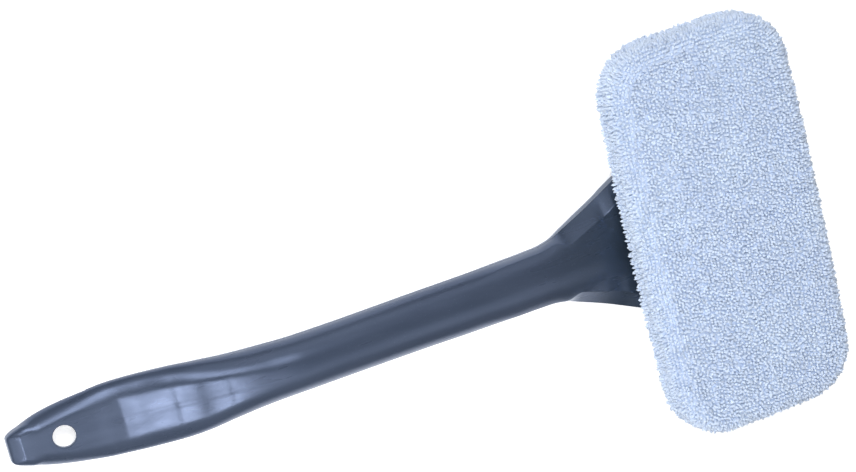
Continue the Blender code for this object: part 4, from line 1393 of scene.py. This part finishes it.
def pile_roots(rings, settings):
    """A mesh of bare points where the loops grow, with their directions and sizes."""
    random = np.random.default_rng(settings.seed)
    rows, boundary = pile_rows(rings, grid_normals(rings), settings, random)
    rows.append(pile_face(boundary, settings, random))
    points, ways, sizes = [np.concatenate(column) for column in zip(*rows)]
    mesh = bpy.data.meshes.new("pile_roots")
    mesh.from_pydata([tuple(p) for p in points], [], [])
    normal = mesh.attributes.new("pile_normal", "FLOAT_VECTOR", "POINT")
    normal.data.foreach_set("vector", ways.astype(np.float32).ravel())
    size = mesh.attributes.new("pile_size", "FLOAT", "POINT")
    size.data.foreach_set("value", sizes.astype(np.float32))
    return mesh


def stored(tree, geometry, name, value, domain):
    """The geometry with a value kept on it under a name."""
    inputs = {"Geometry": geometry, "Name": name, "Value": value}
    return first_output(
        tree, "GeometryNodeStoreNamedAttribute", inputs, data_type="FLOAT", domain=domain
    )


def random_value(tree, low, high, seed):
    """A random number between two for each loop."""
    inputs = {2: low, 3: high, "Seed": seed}
    return add_node(tree, "FunctionNodeRandomValue", inputs, data_type="FLOAT").outputs[1]


def yarn_loop(tree, start):
    """One bow of yarn, with its height along the yarn kept for the painted shade towards its roots."""
    height = times(tree, start["Loop Height"], BOW_HEIGHT_share)
    wide = times(tree, start["Loop Width"], BOW_WIDTH_share)
    foot = times(tree, start["Loop Width"], BOW_FOOT_share)
    ends = {
        "Resolution": BOW_STEPS,
        "Start": joined_vector(tree, times(tree, foot, -1.0), 0.0, 0.0),
        "Start Handle": joined_vector(tree, times(tree, wide, -1.0), 0.0, height),
        "End Handle": joined_vector(tree, wide, 0.0, height),
        "End": joined_vector(tree, foot, 0.0, 0.0),
    }
    curve = first_output(tree, "GeometryNodeCurvePrimitiveBezierSegment", ends, mode="POSITION")
    factor = add_node(tree, "GeometryNodeSplineParameter").outputs["Factor"]
    rise = maths(tree, "SINE", times(tree, factor, math.pi), 0.0)
    curve = stored(tree, curve, "pile_height", rise, "POINT")
    section = {"Resolution": YARN_SIDES, "Radius": start["Yarn Radius"]}
    profile = first_output(tree, "GeometryNodeCurvePrimitiveCircle", section, mode="RADIUS")
    inputs = {"Curve": curve, "Profile Curve": profile}
    return first_output(tree, "GeometryNodeCurveToMesh", inputs)


def loop_rotation(tree, start):
    """Each loop stood on its root's normal, turned at random and leaning a little."""
    direction = first_output(
        tree, "GeometryNodeInputNamedAttribute", {"Name": "pile_normal"}, data_type="FLOAT_VECTOR"
    )
    stand = first_output(
        tree, "FunctionNodeAlignRotationToVector", {"Vector": direction}, axis="Z"
    )
    lean_down = times(tree, start["Tilt"], -1.0)
    low = joined_vector(tree, lean_down, lean_down, 0.0)
    high = joined_vector(tree, start["Tilt"], start["Tilt"], 2 * math.pi)
    ends = {0: low, 1: high, "Seed": start["Seed"]}
    lean = first_output(tree, "FunctionNodeRandomValue", ends, data_type="FLOAT_VECTOR")
    turn = first_output(tree, "FunctionNodeEulerToRotation", {0: lean})
    both = {"Rotation": stand, "Rotate By": turn}
    return first_output(tree, "FunctionNodeRotateRotation", both, rotation_space="LOCAL")


def loop_pile_tree():
    """Geometry nodes that stand a yarn loop on every root point."""
    tree = bpy.data.node_groups.new("loop_pile", "GeometryNodeTree")
    kinds = {"Geometry": "Geometry", "Seed": "Int", "Material": "Material"}
    names = ("Geometry", "Loop Height", "Loop Width", "Yarn Radius", "Tilt", "Seed", "Material")
    for name in names:
        kind = "NodeSocket" + kinds.get(name, "Float")
        tree.interface.new_socket(name=name, in_out="INPUT", socket_type=kind)
    tree.interface.new_socket(name="Geometry", in_out="OUTPUT", socket_type="NodeSocketGeometry")
    start = add_node(tree, "NodeGroupInput").outputs
    size = first_output(
        tree, "GeometryNodeInputNamedAttribute", {"Name": "pile_size"}, data_type="FLOAT"
    )
    height_seed = maths(tree, "ADD", start["Seed"], 1.0)
    shade_seed = maths(tree, "ADD", start["Seed"], 2.0)
    tall = times(tree, random_value(tree, *LOOP_VARIATION_shares, height_seed), size)
    standing = {
        "Points": start["Geometry"],
        "Instance": yarn_loop(tree, start),
        "Rotation": loop_rotation(tree, start),
        "Scale": joined_vector(tree, 1.0, 1.0, tall),
    }
    pile = first_output(tree, "GeometryNodeInstanceOnPoints", standing)
    pile = stored(tree, pile, "pile_shade", random_value(tree, 0.0, 1.0, shade_seed), "INSTANCE")
    pile = first_output(tree, "GeometryNodeRealizeInstances", {"Geometry": pile})
    pile = first_output(tree, "GeometryNodeSetShadeSmooth", {"Geometry": pile})
    painting = {"Geometry": pile, "Material": start["Material"]}
    pile = first_output(tree, "GeometryNodeSetMaterial", painting)
    add_node(tree, "NodeGroupOutput", {"Geometry": pile})
    return tree


def nodes_result(mesh, tree, values):
    """The mesh that a node group makes of another mesh."""
    holder = bpy.data.objects.new("holder", mesh)
    bpy.context.scene.collection.objects.link(holder)
    modifier = holder.modifiers.new("nodes", "NODES")
    modifier.node_group = tree
    for item in tree.interface.items_tree:
        if item.name in values:
            modifier[item.identifier] = values[item.name]
    graph = bpy.context.evaluated_depsgraph_get()
    result = bpy.data.meshes.new_from_object(holder.evaluated_get(graph))
    bpy.data.objects.remove(holder)
    return result


def join_pieces(meshes, name):
    """Several meshes joined as one, keeping their attributes."""
    parts = []
    for mesh in meshes:
        part = bpy.data.objects.new(name, mesh)
        bpy.context.scene.collection.objects.link(part)
        parts.append(part)
    with bpy.context.temp_override(
        active_object=parts[0], object=parts[0], selected_editable_objects=parts
    ):
        bpy.ops.object.join()
    result = parts[0].data.copy()
    bpy.data.objects.remove(parts[0])
    return result


def build_bonnet(settings, yarn):
    """The terry bonnet: its ground cloth and its pile, as one piece."""
    rings = bonnet_skin_rings(settings)
    skin = skin_solid(rings)
    values = {
        "Loop Height": settings.loop_height,
        "Loop Width": settings.loop_width,
        "Yarn Radius": settings.yarn_radius,
        "Tilt": settings.tilt,
        "Seed": settings.seed,
        "Material": yarn,
    }
    pile = nodes_result(pile_roots(rings, settings), loop_pile_tree(), values)
    mesh = join_pieces([skin, pile], "terry_bonnet")
    bonnet = add_piece(
        mesh, "terry_bonnet", yarn, "head", ["bonnet_cover"], CLOTH_SHARP_ANGLE
    )
    return bonnet


def build_foam(foam):
    """The foam block under the bonnet."""
    rings = pad_rings(FOAM_INSET, FOAM_BOTTOM, FOAM_TOP, SEAT_GAP, FOAM_EDGE_RADIUS, FOAM_WAIST)
    block = add_piece(mesh_from_rings(rings), "foam_block", foam, "head", ["foam_pad"])
    return block


def hem_path(steps):
    """Even points along the middle of the hem, with their outward normals in plan."""
    plan = outline(OPENING_HALF_WIDTH, OPENING_HALF_LENGTH, OPENING_CORNER_RADIUS)
    closed = np.vstack([plan, plan[:1]])
    lengths = path_lengths(closed)
    points = read_off(np.linspace(0.0, lengths[-1], steps, endpoint=False), lengths, closed)
    run = np.roll(points, -1, axis=0) - np.roll(points, 1, axis=0)
    run /= np.linalg.norm(run, axis=1, keepdims=True)
    return points, np.column_stack([run[:, 1], -run[:, 0]])


def beside_hem(place, normal, out, up):
    """A point beside the middle of the hem: so far outwards in plan, so far up."""
    middle = PLATE_BACK_HEIGHT - SEAT_GAP - HEM_HEIGHT / 2
    return (place[0] + out * normal[0], place[1] + out * normal[1], middle + up)


def hem_ring(place, normal, gather):
    """The hem's folded section at one place: round its outer face and back round its inner."""
    ring = []
    for (side_inset, top_inset), sweep in zip(HEM_INSETS, (HEM_SWEEP, HEM_SWEEP[::-1])):
        for angle in np.linspace(*sweep, HEM_SWEEP_STEPS):
            out = (HEM_HALF_WIDTH - side_inset + gather) * math.cos(angle)
            up = (HEM_HEIGHT / 2 - top_inset + gather) * math.sin(angle)
            ring.append(beside_hem(place, normal, out, up))
    return ring


def build_hem(binding):
    """The folded hem with the gathers that its elastic draws."""
    rings = []
    for number, (place, normal) in enumerate(zip(*hem_path(HEM_STEPS))):
        crease = noise.noise(Vector((*place, 0)) * CREASE_SCALE)
        gather = GATHER_HEIGHT * math.sin(number * GATHER_TURN) + CREASE_HEIGHT * crease
        rings.append(hem_ring(place, normal, gather))
    mesh = mesh_from_rings(rings, closed=True)
    return add_piece(mesh, "folded_hem", binding, "head", ["bonnet_hem"])


def build_elastic(cord):
    """The elastic cord inside the hem."""
    rings = []
    for place, normal in zip(*hem_path(ELASTIC_STEPS)):
        ring = []
        for angle in np.linspace(0.0, 2 * math.pi, ELASTIC_SIDES, endpoint=False):
            out = ELASTIC_RADIUS * math.cos(angle)
            ring.append(beside_hem(place, normal, out, ELASTIC_RADIUS * math.sin(angle)))
        rings.append(ring)
    mesh = mesh_from_rings(rings, closed=True)
    return add_piece(mesh, "elastic_cord", cord, "head", ["bonnet_elastic"])


def finish_node(name, material):
    """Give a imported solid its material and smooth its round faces."""
    node = frame["nodes"][name]
    node.data.materials.clear()
    node.data.materials.append(material)
    node.data.shade_smooth()
    weld = node.modifiers.new("weld", "WELD")
    weld.merge_threshold = WELD_DISTANCE
    split = node.modifiers.new("edges", "EDGE_SPLIT")
    split.split_angle = SHARP_ANGLE


# Stage


def seen_directly(tree):
    """One for camera, glossy and transmission rays, so reflections show the same background."""
    rays = add_node(tree, "ShaderNodeLightPath").outputs
    either = maths(tree, "MAXIMUM", rays["Is Camera Ray"], rays["Is Glossy Ray"])
    return maths(tree, "MAXIMUM", either, rays["Is Transmission Ray"])


def build_floor(settings):
    """A pale floor that the wand lies on."""
    half = FLOOR_HALF_WIDTH
    corners = [(-half, -half, 0), (half, -half, 0), (half, half, 0), (-half, half, 0)]
    mesh = bpy.data.meshes.new("floor")
    mesh.from_pydata(corners, [], [(0, 1, 2, 3)])
    material, tree, shader = new_material("pale_floor", Roughness=0.9, Specular_IOR_Level=0.1)
    faint = noise_value(tree, object_place(tree), FLOOR_SCALE)
    low = tinted(settings.floor_colour, FLOOR_TINT_share)
    mirrored = add_node(tree, "ShaderNodeLightPath").outputs["Is Glossy Ray"]
    lift = times(tree, seen_directly(tree), settings.floor_lift)
    connect(
        tree,
        shader,
        Base_Color=mixed_colour(tree, faint, low, settings.floor_colour),
        Emission_Color=mixed_colour(tree, mirrored, WHITE, settings.cool_glow),
        Emission_Strength=maths(tree, "MAXIMUM", lift, mirrored),
    )
    mesh.materials.append(material)
    floor = bpy.data.objects.new("floor", mesh)
    bpy.context.scene.collection.objects.link(floor)
    return floor


def build_world(settings):
    """A soft surrounding light, dim at the horizon; the camera sees it white."""
    world = bpy.data.worlds.new("soft_surroundings")
    bpy.context.scene.world = world
    world.use_nodes = True
    tree = world.node_tree
    tree.nodes.clear()
    place = add_node(tree, "ShaderNodeTexCoord").outputs["Generated"]
    height = add_node(tree, "ShaderNodeSeparateXYZ", {0: place}).outputs["Z"]
    strength = spread(tree, height, *SKY_RISE, settings.horizon_light, settings.sky_light)
    colour = (*WHITE, 1.0)
    seen = add_node(tree, "ShaderNodeLightPath").outputs["Is Camera Ray"]
    parts = {0: seen}
    for number, light in enumerate((strength, 1.0), 1):
        inputs = {"Color": colour, "Strength": light}
        parts[number] = first_output(tree, "ShaderNodeBackground", inputs)
    mix = first_output(tree, "ShaderNodeMixShader", parts)
    add_node(tree, "ShaderNodeOutputWorld", {"Surface": mix})


def add_lamp(name, direction, aim, size, power, distance=LAMP_DISTANCE):
    """A rectangular area lamp at a distance from a point, its width along X."""
    light = bpy.data.lights.new(name, "AREA")
    light.shape = "RECTANGLE"
    light.size, light.size_y = size
    light.energy = power
    lamp = bpy.data.objects.new(name, light)
    away = Vector(direction).normalized()
    side = Vector((1, 0, 0)) - away.x * away
    side.normalize()
    turn = Matrix((side, away.cross(side), away)).transposed()
    place = Vector(aim) + distance * away
    lamp.matrix_world = Matrix.Translation(place) @ turn.to_4x4()
    bpy.context.scene.collection.objects.link(lamp)
    return lamp


def build_camera():
    """The photograph's view, fitted in the wand's own frame."""
    place = TO_WORLD @ CAMERA_PLACE
    forward = (CAMERA_AIM - CAMERA_PLACE).normalized()
    level = forward.cross(Vector((0, 0, 1))).normalized()
    above = level.cross(forward)
    right = math.cos(CAMERA_ROLL) * level + math.sin(CAMERA_ROLL) * above
    up = right.cross(forward)
    turn = Matrix((right, up, -forward)).transposed()
    camera_data = bpy.data.cameras.new("camera")
    camera_data.lens = CAMERA_LENS
    camera_data.sensor_width = CAMERA_SENSOR
    camera_data.clip_start = CAMERA_NEAR
    camera = bpy.data.objects.new("camera", camera_data)
    camera.matrix_world = Matrix.Translation(place) @ (TO_WORLD.to_3x3() @ turn).to_4x4()
    bpy.context.scene.collection.objects.link(camera)
    bpy.context.scene.camera = camera
    return camera


# Operators


class WAND_OT_handle_shells(bpy.types.Operator):
    """Build the handle's front and back shells with their fine surfaces"""

    bl_idname = "wand.handle_shells"
    bl_label = "Handle Shells"

    def execute(self, context):
        settings = context.scene.wand_handle
        plastic = slate_plastic(settings)
        build_front_shell(settings, plastic)
        build_back_shell(settings, plastic)
        finish_node("head_plate", plastic)
        return {"FINISHED"}


class WAND_OT_fasteners(bpy.types.Operator):
    """Finish the screws, the hinge pin and its caps"""

    bl_idname = "wand.fasteners"
    bl_label = "Screws, Pin and Caps"

    def execute(self, context):
        steel = zinc_steel()
        for name in frame["nodes"]:
            if name.startswith("handle_screw") or name == "hinge_pin":
                finish_node(name, steel)
        cap = cap_plastic(context.scene.wand_handle)
        for name in ("pin_cap_left", "pin_cap_right"):
            finish_node(name, cap)
        return {"FINISHED"}


class WAND_OT_foam(bpy.types.Operator):
    """Build the foam block and finish the sheet that sticks it to the plate"""

    bl_idname = "wand.foam"
    bl_label = "Foam and Adhesive"

    def execute(self, context):
        build_foam(pale_foam())
        finish_node("foam_adhesive_sheet", adhesive_film())
        return {"FINISHED"}


class WAND_OT_bonnet(bpy.types.Operator):
    """Build the looped terry bonnet"""

    bl_idname = "wand.bonnet"
    bl_label = "Terry Bonnet"

    def execute(self, context):
        settings = context.scene.wand_terry
        build_bonnet(settings, terry_yarn(settings))
        return {"FINISHED"}


class WAND_OT_hem(bpy.types.Operator):
    """Build the bonnet's hem and its elastic"""

    bl_idname = "wand.hem"
    bl_label = "Hem and Elastic"

    def execute(self, context):
        settings = context.scene.wand_terry
        build_hem(hem_binding(settings))
        build_elastic(covered_elastic())
        return {"FINISHED"}


class WAND_OT_stage(bpy.types.Operator):
    """Set the floor, the soft light and the camera"""

    bl_idname = "wand.stage"
    bl_label = "Stage"

    def execute(self, context):
        settings = context.scene.wand_stage
        context.scene.view_settings.view_transform = "Standard"
        build_floor(settings)
        build_world(settings)
        build_camera()
        add_lamp("key_lamp", KEY_DIRECTION, GRIP_PLACE, KEY_SIZE, settings.key_power)
        for name, direction in SIDE_DIRECTIONS.items():
            add_lamp(name, direction, (0.0, 0.0, 0.0), SIDE_SIZE, settings.side_power)
        for name, (direction, distance, size, power_share) in PANEL_LAMPS.items():
            power = power_share * settings.panel_power
            add_lamp(name, direction, GRIP_PLACE, size, power, distance)
        return {"FINISHED"}


class WAND_PT_panel(bpy.types.Panel):
    """Lists the wand's operators and settings"""

    bl_idname = "WAND_PT_panel"
    bl_label = "Windshield Cleaning Wand"
    bl_space_type = "VIEW_3D"
    bl_region_type = "UI"
    bl_category = "Wand"

    def draw(self, context):
        for operator in OPERATORS:
            self.layout.operator(operator.bl_idname)
        scene = context.scene
        for group in (scene.wand_handle, scene.wand_terry, scene.wand_stage):
            box = self.layout.box()
            for name in type(group).__annotations__:
                box.prop(group, name)


OPERATORS = (
    WAND_OT_stage,
    WAND_OT_handle_shells,
    WAND_OT_fasteners,
    WAND_OT_foam,
    WAND_OT_bonnet,
    WAND_OT_hem,
)
CLASSES = (WandHandleSettings, WandTerrySettings, WandStageSettings, *OPERATORS, WAND_PT_panel)


def register():
    """Add the classes, and their settings to the scene."""
    for item in CLASSES:
        bpy.utils.register_class(item)
    bpy.types.Scene.wand_handle = bpy.props.PointerProperty(type=WandHandleSettings)
    bpy.types.Scene.wand_terry = bpy.props.PointerProperty(type=WandTerrySettings)
    bpy.types.Scene.wand_stage = bpy.props.PointerProperty(type=WandStageSettings)


def unregister():
    """Take the settings and the classes away again."""
    del bpy.types.Scene.wand_stage
    del bpy.types.Scene.wand_terry
    del bpy.types.Scene.wand_handle
    for item in reversed(CLASSES):
        bpy.utils.unregister_class(item)


def main():
    """Build every piece and the stage."""
    register()
    bpy.ops.wand.stage()
    bpy.ops.wand.handle_shells()
    bpy.ops.wand.fasteners()
    bpy.ops.wand.foam()
    bpy.ops.wand.bonnet()
    bpy.ops.wand.hem()


if __name__ == "__main__":
    main()
